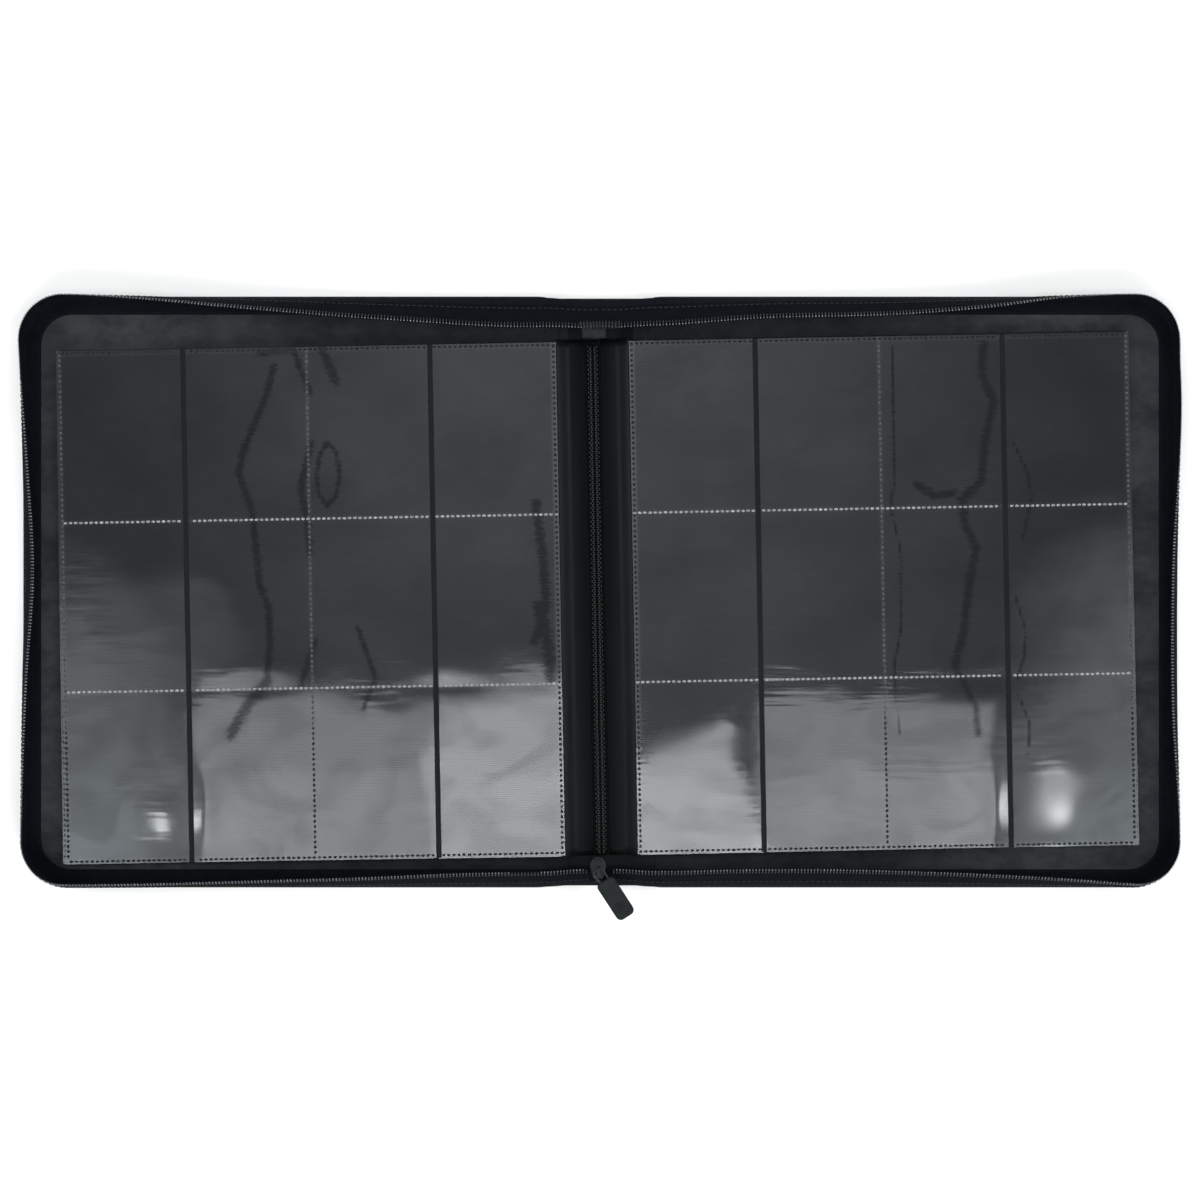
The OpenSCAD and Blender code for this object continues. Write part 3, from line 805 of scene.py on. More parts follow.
def make_cover(name):
    side = SIDES[name]
    body = f"{name}_cover"
    skin = shell(f"{name}_leather_shell", side, COVER_START, REACH, HALF_H, CORNER_R,
                 COVER_TOP / MM, LEATHER)
    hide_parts(f"{name}_cover_skin")
    stitches = edge_stitches(f"{name}_edge_stitches", side, COVER_START, REACH, HALF_H, CORNER_R)
    settle(body, "pu_skin", skin, stitches)
    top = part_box(f"{name}_cover_lining")[1].z
    cloth = lining_sheet(f"{name}_lining_cloth", side, COVER_START + 1 * MM, REACH - 2 * MM,
                         HALF_H - 2 * MM, CORNER_R - 2 * MM, top, 0.7 * MM, Waves(60 * MM), LINING)
    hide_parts(f"{name}_cover_lining")
    settle(body, "lining", cloth)
    fold = bent_strip(f"{name}_skin_fold", side, SPINE_EDGE - 3 * MM, COVER_START + 3 * MM,
                      SPINE_HALF_H - 0.4 * MM, 0.45 * MM, 0.75 * MM, LEATHER, 0.35 * MM)
    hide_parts(f"{name}_hinge_fold")
    bends_with_cover(fold)
    inner = bent_strip(f"{name}_lining_fold", side, SPINE_EDGE - 5 * MM, COVER_START + 4 * MM,
                       SPINE_HALF_H - 1.6 * MM, top + 0.12 * MM, 0.3 * MM, LINING, -0.25 * MM)
    bends_with_cover(inner)


def make_spine():
    """The spine's skin is turned up over its board at the head and the tail."""
    rows = []
    half_h, x, top = SPINE_HALF_H + 0.5 * MM, SPINE_EDGE + 0.1 * MM, COVER_TOP - 0.05 * MM
    ends = [0.985, 0.990, 0.997, 0.9985, 1.0]
    for share in [-e for e in reversed(ends)] + list(np.linspace(-0.95, 0.95, 12)) + ends:
        rounding = 0.5 * MM * (1 - min(1, (1 - abs(share)) / 0.003)) ** 2
        y, low, high = share * half_h, rounding, top - rounding
        inside = high - 0.01 * MM if abs(share) > 0.988 else SKIN_T
        rows.append([(-x, y, high), (-x, y, low + 0.25 * MM), (-x + 0.6 * MM, y, low), (x - 0.6 * MM, y, low),
                     (x, y, low + 0.25 * MM), (x, y, high), (x - 1 * MM, y, high), (x - 1 * MM, y, inside),
                     (-x + 1 * MM, y, inside), (-x + 1 * MM, y, high)])
    skin = sweep("spine_leather_shell", rows, LEATHER)
    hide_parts("spine_skin")
    settle("spine", "pu_skin", skin)
    wave = Waves(25 * MM)
    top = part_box("spine_lining")[1].z
    xs, ys = np.linspace(-SPINE_EDGE, SPINE_EDGE, 25), np.linspace(-1, 1, 90) * (SPINE_HALF_H - 1 * MM)
    up = [(x, y, top + wave(x, y) * 0.12 * MM) for y in ys for x in xs]
    down = [(x, y, top - 0.7 * MM) for y in ys for x in xs]
    rows_n, cols_n = len(ys), len(xs)
    faces = grid_faces(rows_n, cols_n) + [f[::-1] for f in grid_faces(rows_n, cols_n, len(up))]
    rim = [c for c in range(cols_n)] + [r * cols_n + cols_n - 1 for r in range(1, rows_n)]
    rim += [(rows_n - 1) * cols_n + c for c in range(cols_n - 2, -1, -1)]
    rim += [r * cols_n for r in range(rows_n - 2, 0, -1)]
    n = len(up)
    faces += [(a, a + n, b + n, b) for a, b in zip(rim, rim[1:] + rim[:1])]
    cloth = new_object("spine_lining_cloth", up + down, faces, SHEET)
    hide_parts("spine_lining")
    settle("spine", "spine_cloth", cloth)


for cover_name in SIDES:
    make_cover(cover_name)
make_spine()


# ---------------------------------------------------------------- leaves

def leaf_place(side, u, v, z, shift=(0.0, 0.0), turn=0.0):
    """A point of a leaf in the row frame, from its distance across and along the binding."""
    u, v, z = np.broadcast_arrays(np.asarray(u, float), np.asarray(v, float), np.asarray(z, float))
    c, s = math.cos(turn), math.sin(turn)
    middle = (LEAF_U0 + LEAF_U1) / 2
    du, dv = u - middle, v
    uu, vv = middle + du * c - dv * s + shift[0], du * s + dv * c + shift[1]
    xy = TURN[:2] + (side * uu)[..., None] * ACROSS[:2] + vv[..., None] * ALONG[:2]
    return np.concatenate([xy, z[..., None]], axis=-1)


def panel_edges():
    """The three welded panels of a face: (first edge, last edge) across the leaf."""
    cuts = [LEAF_U0 + WELD_INSET + POCKET_W, LEAF_U1 - WELD_INSET - POCKET_W]
    return [(LEAF_U0, cuts[0] - SLOT_W / 2), (cuts[0] + SLOT_W / 2, cuts[1] - SLOT_W / 2),
            (cuts[1] + SLOT_W / 2, LEAF_U1)]


def weld_columns():
    return [LEAF_U0 + WELD_INSET, (LEAF_U0 + LEAF_U1) / 2, LEAF_U1 - WELD_INSET]


def weld_rows():
    return [LEAF_V0 + WELD_INSET + k * POCKET_H for k in range(POCKET_ROWS + 1)]


# Marks where the film clings to the sheet behind it: a width, then places from left to right and
# from the head down, all in millimetres in the row frame
CLINGS = {
    "left": [
        (3.4, [(-183, 127), (-187, 111), (-199, 82), (-203, 67), (-195, 45), (-193, 25), (-191, 4),
               (-186, -9), (-185, -29), (-187, -50)]),
        (5.5, [(-187, -50), (-197, -62), (-207, -80)]),
        (3.0, [(-192, 134), (-172, 136), (-163, 112)]),
        (3.4, [(-162, 84), (-168, 58), (-164, 40), (-163, 22)]),
        (3.2, [(-160, -28), (-168, -52)]),
        (4.2, [(-156, 136), (-148, 118)]),
        (2.2, [(-153, 84), (-148, 78), (-146, 66), (-148, 54), (-153, 48), (-158, 55), (-159, 66),
               (-157, 77), (-153, 84)]),
        (2.6, [(-136, -20), (-126, -48), (-133, -66)]),
        (4.5, [(-36, 50), (-32, 20), (-30, -8), (-37, -28)]),
        (6.0, [(-34, -8), (-29, -30), (-28, -48)]),
    ],
    "right": [
        (4.0, [(215, 139), (214, 122), (221, 107), (216, 85), (214, 62), (203, 52), (205, 38),
               (211, 25), (207, 4), (204, -22), (199, -41)]),
        (3.0, [(199, -41), (211, -65), (212, -80)]),
        (1.6, [(232, 84), (240, 66), (242, 52), (237, 30)]),
        (1.6, [(233, -2), (239, -22), (238, -36), (234, -50)]),
        (1.6, [(235, -58), (241, -74), (240, -92)]),
        (1.5, [(164, 138), (165, 60), (163, 50), (169, 20), (169, -20), (165, -42), (168, -80)]),
        (4.0, [(178, 60), (188, 54), (198, 56)]),
    ],
}
# Places beside the slots where the film stands proud: place, reach across and along, and height
PUFFS = {
    "left": [(-221, -124, 6.5, 17, 0.16), (-240, -128, 14, 12, 0.08), (-205, 4, 30, 12, 0.05),
             (-46, -20, 22, 16, 0.10)],
    "right": [(222, -121, 5.0, 18, 0.13), (262, -126, 15, 12, 0.08), (284, 0, 30, 20, 0.05)],
}


def cling_at(points, side_name):
    """1 on the marks, falling to 0 a little outside them."""
    xy = points[..., :2].reshape(-1, 2) / MM
    best = np.full(len(xy), -1.0)
    for width, line in CLINGS[side_name]:
        for p, q in zip(np.array(line[:-1], float), np.array(line[1:], float)):
            d = q - p
            t = np.clip((xy - p) @ d / (d @ d), 0, 1)
            far = np.linalg.norm(xy - p - t[:, None] * d, axis=1)
            best = np.maximum(best, 1 - far / (width * 1.1))
    return best


def to_welds(u, v):
    """The distances to the nearest row and the nearest column of welds."""
    return (np.min([np.abs(v - w) for w in weld_rows()], axis=0),
            np.min([np.abs(u - w) for w in weld_columns()], axis=0))


def film_height(u, v, waves, points, side_name):
    """How far the film stands off its sheet: nothing at the welds, a little in each pocket."""
    row, col = to_welds(u, v)
    lift = (1 - np.exp(-row / (14 * MM))) * (1 - np.exp(-col / (14 * MM)))
    height = lift * (0.09 * MM + 0.07 * MM * waves(u, v))
    for x, y, reach_x, reach_y, rise in PUFFS[side_name]:
        far = ((points[..., 0] / MM - x) / reach_x) ** 2 + ((points[..., 1] / MM - y) / reach_y) ** 2
        height = height + rise * MM * np.exp(-far) * np.minimum(1, col / (3 * MM))
    return np.maximum(height, 0) + 0.04 * MM


def film_panels(name, side, z, up, step, shift=(0.0, 0.0), turn=0.0):
    """The clear film of one face of a leaf, in three panels with open slots between them."""
    waves = Waves(70 * MM)
    side_name = "left" if side < 0 else "right"
    verts, faces, welds, clings = [], [], [], []
    for u0, u1 in panel_edges():
        us = np.linspace(u0, u1, max(4, int((u1 - u0) / step)))
        vs = np.linspace(LEAF_V0, LEAF_V1, int((LEAF_V1 - LEAF_V0) / step))
        u, v = np.meshgrid(us, vs)
        flat = leaf_place(side, u, v, z, shift, turn)
        h = film_height(u, v, waves, flat, side_name)
        points = leaf_place(side, u, v, z + (h if up else -h), shift, turn)
        clings += list(cling_at(points, side_name) if up else np.zeros(u.size))
        new = grid_faces(len(vs), len(us), len(verts))
        flip = (side > 0) != up
        faces += [f[::-1] for f in new] if flip else new
        verts += list(points.reshape(-1, 3))
        row, col = to_welds(u, v)
        rim = np.minimum(u - LEAF_U0, LEAF_U1 - u)
        near = np.clip(1 - np.minimum(np.minimum(row, col), rim) / (2.2 * MM), 0, 1)
        plain = smooth_step((u - LEAF_U0) / (4 * MM)) * smooth_step((v - LEAF_V0) / (4 * MM))
        near = near * (1 - 0.7 * plain)
        welds += list(near.reshape(-1))
    obj = new_object(name, verts, faces, FILM)
    set_attribute(obj, "weld", welds)
    set_attribute(obj, "cling", clings)
    return obj


def weld_dots(name, side, z, up, shift=(0.0, 0.0), turn=0.0):
    """The dotted welds: low domes in rows and columns between the pockets."""
    spots = []
    for v in weld_rows():
        for u in np.arange(LEAF_U0 + WELD_INSET, LEAF_U1, WELD_PITCH):
            if any(a + 0.8 * MM < u < b - 0.8 * MM for a, b in panel_edges()):
                spots.append((u, v, True))
    for u in weld_columns():
        for v in np.arange(LEAF_V0 + WELD_INSET + WELD_PITCH, LEAF_V1 - WELD_INSET, WELD_PITCH):
            spots.append((u, v, False))
    z_axis = Z_AXIS if up else -Z_AXIS
    glint_spots, lit_spots, dark = [], [], []
    for u, v, lies in spots:
        origin = leaf_place(side, u, v, z, shift, turn)
        wide, deep = (1.15, 0.75) if lies else (0.85, 1.0)
        # Painted light: each weld takes a tone by where it lies. The middle rows get a painted glint, most
        # column welds paler painted light, and the rest stay dark.
        if lies and LEAF_V0 + POCKET_H / 2 < v < LEAF_V1 - POCKET_H / 2:
            group = glint_spots
        else:
            at_edge = lies or u - LEAF_U0 < 4 * MM
            group = dark if at_edge or v < LEAF_V0 + POCKET_H * 0.8 else lit_spots
        group.append((origin, ACROSS * side * wide, ALONG * deep, z_axis))
    shape = dome(0.95 * MM, 0.26 * MM)
    pieces = [scatter(f"{name}_{kind}", places, shape, material) for kind, places, material in (
        ("rows", glint_spots, GLINT_ROW_WELD), ("columns", lit_spots, LIT_COLUMN_WELD), ("edges", dark, WELD))]
    return pieces


def leaf_sheet(name, side, z0, z1, material, shift=(0.0, 0.0), turn=0.0):
    """One leaf's sheet, a thin plate with small rounded corners and a slight edge."""
    r, rings = 1.2 * MM, []
    for inset, z in ((0.3 * MM, z0), (0.0, z0 + 0.12 * MM), (0.0, z1 - 0.12 * MM), (0.3 * MM, z1)):
        corners = ((LEAF_U1 - r, LEAF_V1 - r, 0), (LEAF_U0 + r, LEAF_V1 - r, 90),
                   (LEAF_U0 + r, LEAF_V0 + r, 180), (LEAF_U1 - r, LEAF_V0 + r, 270))
        rings.append([leaf_place(side, u, v, z, shift, turn) for cu, cv, start in corners
                      for u, v in arc(cu, cv, r - inset, start, 4)])
    return sweep(name, rings, material, smooth=False)


def make_leaves(name):
    side = SIDES[name]
    low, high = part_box(f"{name}_leaf_01_backing")
    backing = leaf_sheet(f"{name}_leaf_01_sheet", side, low.z, high.z, BACKING)
    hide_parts(f"{name}_leaf_01_backing")
    front = film_panels(f"{name}_leaf_01_front_pockets", side, high.z, True, 1.9 * MM)
    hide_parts(f"{name}_leaf_01_front_film")
    back = film_panels(f"{name}_leaf_01_back_pockets", side, low.z, False, 3.2 * MM)
    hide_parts(f"{name}_leaf_01_back_film")
    front_dots = weld_dots(f"{name}_leaf_01_front_welds", side, high.z + 0.05 * MM, True)
    back_dots = weld_dots(f"{name}_leaf_01_back_welds", side, low.z - 0.03 * MM, False)
    for piece in (backing, front, back, *front_dots, *back_dots):
        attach(piece, f"{name}_top_leaf")
    for index in range(2, 11):
        node = f"{name}_leaf_{index:02d}"
        lo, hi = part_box(node)
        if index == 2:
            shift, turn = ((1.2 * MM, -0.25 * MM), 0.004) if side < 0 else ((0.8 * MM, -0.2 * MM), 0.003)
        else:
            shift = (RANDOM.uniform(-0.8, 0.8) * MM, RANDOM.uniform(-0.9, 0.7) * MM)
            turn = RANDOM.uniform(-0.002, 0.003)
        sheet = leaf_sheet(f"{node}_sheet", side, lo.z, hi.z, LOWER_SHEET, shift, turn)
        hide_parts(node)
        settle(f"{name}_leaves", "leaf_sheet", sheet)
        if index == 2:
            pockets = film_panels(f"{node}_front_pockets", side, hi.z - 0.03 * MM, True, 5 * MM, shift, turn)
            dots = weld_dots(f"{node}_front_welds", side, hi.z - 0.02 * MM, True, shift, turn)
            for piece in (pockets, *dots):
                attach(piece, f"{name}_leaves")


def margin_layer(name, side, us, zs, waves):
    """One layer of the leaves' margins, through points across the leaf."""
    loop = ribbon_loop(np.stack([us, zs], axis=1), 0.2 * MM)
    sections = []
    for v in np.linspace(LEAF_V0 - 1 * MM, LEAF_V1 + 2 * MM, 60):
        swell = 0.10 * MM * np.sin(np.pi * (loop[:, 0] - us[0]) / (us[-1] - us[0])) * waves(v, 0.0)
        sections.append(leaf_place(side, loop[:, 0], v, loop[:, 1] + swell))
    return sweep(name, sections, MARGIN)


def make_margins(name):
    """The margins lie flat beside the binding strip and rise to their leaves' edges."""
    side = SIDES[name]
    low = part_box("binding_margins")[0].z + 0.14 * MM
    edge = LEAF_U0 - 0.05 * MM
    tops = np.linspace(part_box(f"{name}_leaf_01_backing")[0].z - 0.15 * MM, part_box(f"{name}_leaf_10")[1].z, 5)
    ends = leaf_place(side, np.array([15.8 * MM, edge - 0.2 * MM]), 0.0, 0.0)
    us = np.linspace(4.6 * MM, edge, 21)
    waves = Waves(70 * MM)
    for k, top in enumerate(tops):
        flat = low + (4 - k) * 0.22 * MM
        zs = flat + (top - flat) * smooth_step((us - 12.5 * MM) / (edge - 11.5 * MM)) / smooth_step(
            (edge - 12.5 * MM) / (edge - 11.5 * MM))
        layer = margin_layer(f"{name}_margin_layer_{k + 1}", side, us, zs, waves)
        if k == 0:
            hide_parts("binding_margins")
        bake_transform(layer)


def make_binding():
    """The binding strip, pressed down in a lozenge pattern between two columns of needle holes, with
    a short stitch along each side of every lozenge."""
    low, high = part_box("binding_strip")[0].z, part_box("binding_strip")[1].z
    half_w, half_gap, pitch = 4.5 * MM, 2.3 * MM, 2.6 * MM
    us = np.linspace(-half_w, half_w, 25)
    vs = np.linspace(LEAF_V0 - 1 * MM, LEAF_V1 + 2 * MM, 400)
    u, v = np.meshgrid(us, vs)
    lozenge = np.sin(np.pi * (v / pitch + u / half_gap / 2)) * np.sin(np.pi * (v / pitch - u / half_gap / 2))
    body = np.clip(1 - (np.abs(u) / half_w) ** 4, 0, 1)
    z = low + (high - low + 0.25 * MM * lozenge) * body + 0.12 * MM
    points = leaf_place(1, u, v, z)
    strip = new_object("binding_pressed_strip", points.reshape(-1, 3), grid_faces(len(vs), len(us)), BINDING)
    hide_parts("binding_strip")
    places, dark = [], []
    up = Z_AXIS
    lean = math.atan2(half_gap, pitch / 2)
    for i in range(int((LEAF_V1 - LEAF_V0) / pitch)):
        v0 = LEAF_V0 + (i + 0.5) * pitch
        for column in (-1, 1):
            for way_v in (-1, 1):
                way = way_v * math.cos(lean) * ALONG - column * math.sin(lean) * ACROSS
                middle = leaf_place(1, column * half_gap * 0.55, v0 + way_v * pitch * 0.23, high + 0.22 * MM)
                places.append((middle, way, np.cross(up, way), up))
            dark.append((leaf_place(1, column * half_gap * 1.08, v0, high + 0.24 * MM), ACROSS, ALONG, up))
            places.append((leaf_place(1, column * half_gap * 1.10, v0 + pitch / 2, high + 0.16 * MM),
                           ALONG * 0.75, ACROSS, up))
    shape = bead(1.5 * MM, 0.62 * MM, 0.5 * MM, 4, 6)
    stitches = scatter("binding_cross_stitches", places, shape, GREY_THREAD)
    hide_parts("binding_stitches")
    eyelets = scatter("binding_needle_holes", dark, dome(0.62 * MM, 0.1 * MM), BINDING)
    settle("spine", "binding_strip", strip, eyelets)
    settle("spine", "stitching", stitches)


for leaf_side in SIDES:
    make_leaves(leaf_side)
    make_margins(leaf_side)
make_binding()


# ---------------------------------------------------------------- slider and end tab

def plate_outline():
    """The slider's pointed outline, in shares of its half width and its length from the back."""
    return [(-0.52, 0.0), (0.52, 0.0), (0.66, 0.06), (1.0, 0.58), (0.98, 0.70), (0.62, 0.93),
            (0.40, 1.0), (-0.40, 1.0), (-0.62, 0.93), (-0.98, 0.70), (-1.0, 0.58), (-0.66, 0.06)]


def slider_plate(name, z0, z1, crown):
    """One plate of the slider, with rounded edges and a crowned face."""
    half_w = (SLIDER_HIGH.x - SLIDER_LOW.x) / 2
    length = SLIDER_HIGH.y - SLIDER_LOW.y
    mid_x, mid_y = (SLIDER_LOW.x + SLIDER_HIGH.x) / 2, SLIDER_LOW.y + 0.55 * length
    rows = []
    for shrink, z in ((0.86, z0), (0.97, z0 + 0.12 * MM), (1.0, (z0 + z1) / 2), (0.97, z1 - 0.15 * MM),
                      (0.86, z1), (0.55, z1 + crown * 0.7), (0.2, z1 + crown)):
        rows.append([(mid_x + sx * half_w * shrink,
                      mid_y + (SLIDER_LOW.y + sy * length - mid_y) * shrink, z)
                     for sx, sy in plate_outline()])
    obj = sweep(name, rows, ENAMEL)
    soften(obj, 2)
    return obj


def soften(obj, levels):
    modifier = obj.modifiers.new("smooth", "SUBSURF")
    modifier.levels = modifier.render_levels = levels


def make_slider():
    low, high = SLIDER_LOW.z, SLIDER_HIGH.z
    top = slider_plate("slider_top_plate", high - 0.9 * MM, high, 0.35 * MM)
    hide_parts("zip_slider")
    bottom = slider_plate("slider_bottom_plate", low, low + 0.9 * MM, 0.0)
    mid_x = (SLIDER_LOW.x + SLIDER_HIGH.x) / 2
    post_y = SLIDER_HIGH.y - 1.4 * MM
    post = sweep("slider_post", [[(mid_x + 0.9 * MM * math.cos(a), post_y + 1.1 * MM * math.sin(a), z)
                                  for a in turns(12)] for z in (low + 0.5 * MM, high - 0.5 * MM)], ENAMEL)
    arch = [(-2.9, -0.2), (-2.7, 0.9), (-2.0, 2.1), (-0.9, 2.75), (0.3, 2.8), (1.5, 2.3), (2.3, 1.3),
            (2.6, -0.2)]
    line = np.array([(mid_x, PIN[1] + d * MM, high + h * MM) for d, h in arch])
    way = unit_rows(np.gradient(line, axis=0))
    sections = [[p + X_AXIS * math.cos(a) * 1.0 * MM + np.array([0, -d[2], d[1]]) * math.sin(a) * 0.45 * MM
                 for a in turns(10)] for p, d in zip(line, way)]
    bridge = sweep("slider_arch", sections, ENAMEL)
    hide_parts("slider_bridge")
    settle("zip_slider", "slider_metal", top, bottom, post, bridge)


def pull_place(x, y, z):
    """A point in the pull's own frame: x along its pin, y back from the grip, z up."""
    return PIN + x * PIN_AXIS + y * PULL_BACK + z * Z_AXIS


def make_pull():
    r, half = 0.55 * MM, 2.7 * MM
    path = [(-half, 0.3), (-half * 0.9, 0.75), (-half * 0.6, 0.85), (half * 0.6, 0.85), (half * 0.9, 0.75),
            (half, 0.3), (half, -4), (half * 0.95, -8.6), (half * 0.6, -9), (-half * 0.6, -9),
            (-half * 0.95, -8.6), (-half, -4)]
    path = [(x, y * MM if abs(y) > 0.1 else y) for x, y in path]
    sections = []
    for i, (x, y) in enumerate(path):
        nx, ny = path[(i + 1) % len(path)]
        px, py = path[i - 1]
        d = unit(np.array([nx - px, ny - py]))
        sections.append([pull_place(x - d[1] * r * math.cos(a), y + d[0] * r * math.cos(a), r * math.sin(a))
                         for a in turns(8)])
    rows, cols = len(sections), 8
    verts = [p for s in sections for p in s]
    faces = grid_faces(rows, cols, wrap=True)
    faces += [((rows - 1) * cols + c, (rows - 1) * cols + (c + 1) % cols, (c + 1) % cols, c)
              for c in range(cols)]
    link = new_object("pull_wire_link", verts, faces, RUBBED)
    soften(link, 2)
    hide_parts("pull_link")
    low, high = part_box("pull_grip")
    length, width, thick = 24 * MM, 11 * MM, high.z - low.z
    start, near_r, r = 6 * MM, 2.4 * MM, 3 * MM
    corners = ((width / 2 - near_r, -start - near_r, near_r, 0),
               (-width / 2 + near_r, -start - near_r, near_r, 90),
               (-width / 2 + r, -start - length + r, r, 180), (width / 2 - r, -start - length + r, r, 270))
    outline_points = np.array([p for corner in corners for p in arc(*corner, 6)])
    away = unit_rows(outline_points - outline_points.mean(axis=0))
    rows = []
    for inset, z in ((0.9, -0.5), (0.35, -0.47), (0.08, -0.36), (0.0, -0.15), (0.0, 0.15), (0.08, 0.36),
                     (0.35, 0.47), (0.9, 0.5), (1.6, 0.5), (2.0, 0.40), (4.4, 0.36)):
        rows.append([pull_place(x, y, z * thick) for x, y in outline_points - away * inset * MM])
    grip = sweep("pull_rubber_grip", rows, RUBBER)
    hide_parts("pull_grip")
    settle("zip_pull", "slider_metal", link)
    ribs = [(pull_place(0, -(start + length - 5.5 * MM - k * 1.7 * MM), 0.36 * thick), PIN_AXIS,
             PULL_BACK, Z_AXIS) for k in range(3)]
    bars = scatter("pull_grip_ribs", ribs, bead(5.5 * MM, 0.8 * MM, 0.45 * MM, 6, 8), RUBBER)
    settle("zip_pull", "pull_rubber", grip, bars)


def make_chain_ends():
    """The closed chain at the head, the cloth tab that ends it, and the stub under the slider."""
    wall = WALLS["left"]
    origin, _, up, out = wall.axes(0.3 * MM, 0.965)
    places = []
    for i in range(13):
        spot = np.array([(i - 6) * TOOTH_PITCH, origin[1] + 0.4 * MM, origin[2] + 0.5 * MM])
        places.append((spot, up, X_AXIS, out))
    closed = scatter("head_closed_chain", places, bead(5.0 * MM, 1.0 * MM, 1.5 * MM, 5, 6), COIL)
    settle("spine", "zip_teeth", closed)
    low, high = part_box("zip_end_tab")
    xs, sections = np.linspace(low.x, high.x, 11), []
    line = [(high.y + 2.5 * MM, high.z - 1.2 * MM), (high.y, high.z - 0.2 * MM),
            (high.y - 2 * MM, high.z + 0.1 * MM), (low.y + 1.2 * MM, high.z - 0.6 * MM),
            (low.y + 0.2 * MM, high.z - 1.6 * MM), (low.y + 0.8 * MM, high.z - 2.6 * MM)]
    loop = ribbon_loop(line, 0.6 * MM)
    for i, x in enumerate(xs):
        squeeze = 1 - 0.10 * abs(i - 5) / 5
        sections.append([(x, high.y + (y - high.y) * squeeze, z) for y, z in loop])
    tab = sweep("zip_end_cloth_tab", sections, TAB_CLOTH)
    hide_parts("zip_end_tab")
    settle("spine", "end_tab", tab)
    low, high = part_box("bottom_end_teeth")
    mid_x, z = (low.x + high.x) / 2, high.z - 1.2 * MM
    count = int((high.y - low.y) / TOOTH_PITCH)
    places = [(np.array([mid_x, low.y + (k + 0.5) * TOOTH_PITCH, z]), X_AXIS, Y_AXIS, Z_AXIS)
              for k in range(count)]
    stub = scatter("tail_closed_chain", places, bead(3.2 * MM, 1.0 * MM, 1.2 * MM, 5, 6), COIL)
    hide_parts("bottom_end_teeth")
    loop = ribbon_loop([(low.y + 6 * MM, high.z - 2 * MM), (low.y + 2 * MM, high.z - 2.1 * MM),
                        (low.y + 0.3 * MM, high.z - 3.2 * MM), (low.y - 0.5 * MM, high.z - 6 * MM),
                        (low.y - 0.9 * MM, low.z - 1 * MM)], 0.7 * MM)
    web = sweep("tail_chain_tape", [[(x, y, zz) for y, zz in loop]
                                    for x in np.linspace(mid_x - 4 * MM, mid_x + 4 * MM, 5)], TAPE_CLOTH)
    settle("spine", "zip_teeth", stub)
    settle("spine", "zip_tape", web)


make_slider()
make_pull()
make_chain_ends()

for board in ("left_cover_board", "right_cover_board", "spine_board"):
    slots = frame["nodes"][board].material_slots
    for index in range(len(slots)):
        slots[index].material = BOARD


# ---------------------------------------------------------------- floor, lights and camera

def area_light(name, place, target, size, radiance, shape="RECTANGLE"):
    data = bpy.data.lights.new(name, "AREA")
    data.shape = shape
    data.size, data.size_y = size
    data.energy = radiance * math.pi * size[0] * size[1] * (1 if shape == "RECTANGLE" else math.pi / 4)
    obj = bpy.data.objects.new(name, data)
    bpy.context.scene.collection.objects.link(obj)
    obj.location = place
    way = np.array(target, float) - np.array(place, float)
    pitch = math.acos(-way[2] / np.linalg.norm(way))
    obj.rotation_euler = (pitch, 0, math.atan2(-way[0], way[1]))
    return obj


# The world's even light, and its soft glows: the way to each one's middle, its reach across and along,
# and its strength
ROOM_LIGHT = 0.10
GLOWS = [(0.0, 0.14, 0.26, 0.22, 0.32), (-0.262, -0.13, 0.10, 0.12, 2.2), (0.262, -0.13, 0.10, 0.12, 2.0),
         (-0.26, -0.02, 0.09, 0.05, 0.8), (0.27, -0.01, 0.07, 0.06, 0.9)]
# Flat lights overhead, mirrored in the film's lower pockets: place, width, depth, radiance and turn
STRIPS = [
    ("left", -0.305, -0.305, 2.0, 0.67, 0.31, 1.75, 0.0),
    ("left_centre", -0.116, -0.30, 2.01, 0.29, 0.33, 1.45, 0.0),
    ("right", 0.435, -0.305, 2.0, 0.375, 0.31, 1.75, 0.0),
    ("right_centre", 0.145, -0.38, 2.01, 0.215, 0.31, 3.3, 0.30),
    ("low", 0.0, -0.38, 2.02, 1.27, 0.20, 0.65, 0.0),
]
# Small bright lights overhead, mirrored near the outer corners: place, width and depth
WINDOWS = [("left", -0.705, -0.365, 0.062, 0.095), ("right", 0.72, -0.335, 0.080, 0.125)]
# The lights round the object: place, target, size and radiance
ROOM_LIGHTS = [
    ("key_front", (0.2, -1.9, 1.9), (0, -0.1, 0), (2.6, 1.3), 5.0),
    ("side_left", (-2.1, 0.2, 1.7), (0, 0, 0), (1.4, 1.8), 4.6),
    ("side_right", (2.1, 0.2, 1.7), (0, 0, 0), (1.4, 1.8), 4.6),
    ("back_fill", (0.0, 2.1, 1.8), (0, 0.1, 0), (2.4, 1.0), 3.2),
]


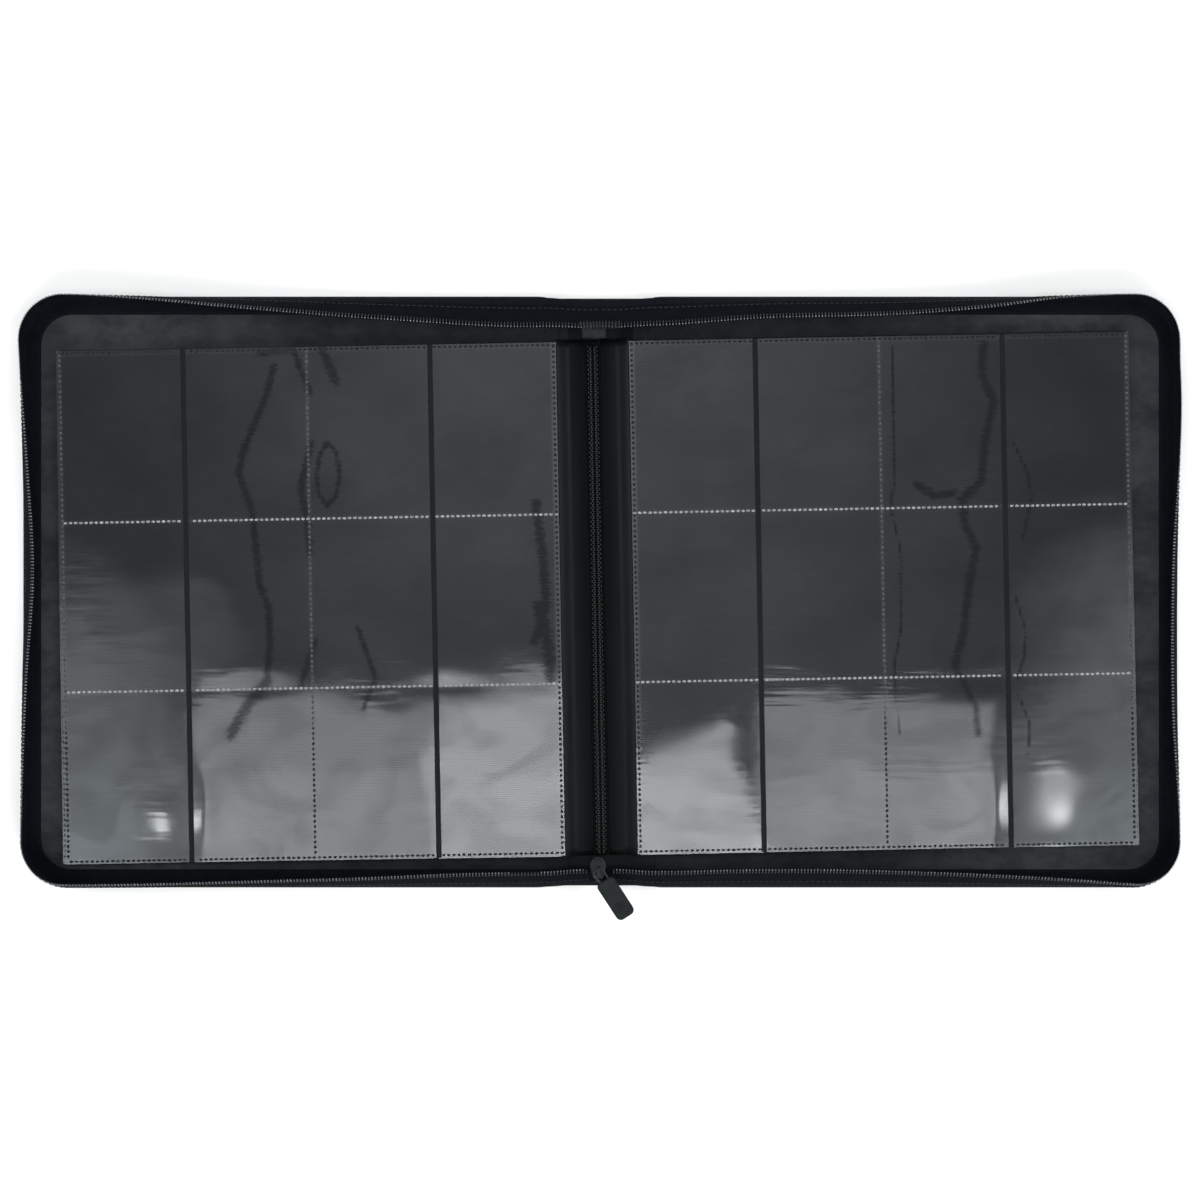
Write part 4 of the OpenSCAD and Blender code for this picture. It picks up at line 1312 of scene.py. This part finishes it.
def make_stage():
    size = 30.0
    verts = [(-size, -size, 0), (size, -size, 0), (size, size, 0), (-size, size, 0)]
    floor = new_object("floor", verts, [(0, 1, 2, 3)], white_floor(), smooth=False)
    floor.location.z = -0.02 * MM
    world = bpy.data.worlds.new("studio")
    bpy.context.scene.world = world
    g = Graph(world, "Generated")
    total = ROOM_LIGHT
    for x, y, reach_x, reach_y, strength in GLOWS:
        place = g.add("ShaderNodeMapping", vector_type="TEXTURE",
                      Location=(x, y, math.sqrt(1 - x * x - y * y)), Scale=(reach_x, reach_y, 0.6))
        g.link(g.coord, place.inputs["Vector"])
        glow = g.add("ShaderNodeTexGradient", gradient_type="SPHERICAL")
        g.link(place.outputs["Vector"], glow.inputs["Vector"])
        total = g.math("MULTIPLY_ADD", glow.outputs["Fac"], strength, total)
    horizon = g.ramp(g.axis(2), 0.16, 0.42, 0.95, 0.0)
    background = g.tree.nodes["Background"]
    background.inputs["Color"].default_value = (0.90, 0.96, 1.0, 1)
    g.link(g.math("ADD", total, horizon), background.inputs["Strength"])
    for name, x, y, height, wide, deep, radiance, turn in STRIPS:
        strip = area_light(f"strip_{name}", (x, y, height), (x, y, 0), (wide, deep), radiance)
        strip.rotation_euler.z += turn
    for name, x, y, wide, deep in WINDOWS:
        for part, share, radiance in (("glow", 1.0, 2.6), ("middle", 0.72, 3.0), ("core", 0.4, 2.0)):
            area_light(f"window_{name}_{part}", (x, y, 1.98 + 0.01 * share), (x, y, 0),
                       (wide * share, deep * share), radiance, "ELLIPSE")
    for name, place, target, size, radiance in ROOM_LIGHTS:
        area_light(name, place, target, size, radiance)


def make_camera():
    height, width_seen = 1.10, 0.680
    data = bpy.data.cameras.new("camera")
    data.sensor_width = 36
    data.lens = 36 * height / width_seen
    camera = bpy.data.objects.new("camera", data)
    camera.location = (0.0, -0.0045, height)
    camera.rotation_euler = (0, 0, 0)
    bpy.context.scene.collection.objects.link(camera)
    bpy.context.scene.camera = camera


make_stage()
make_camera()
bpy.context.scene.view_settings.view_transform = "Standard"
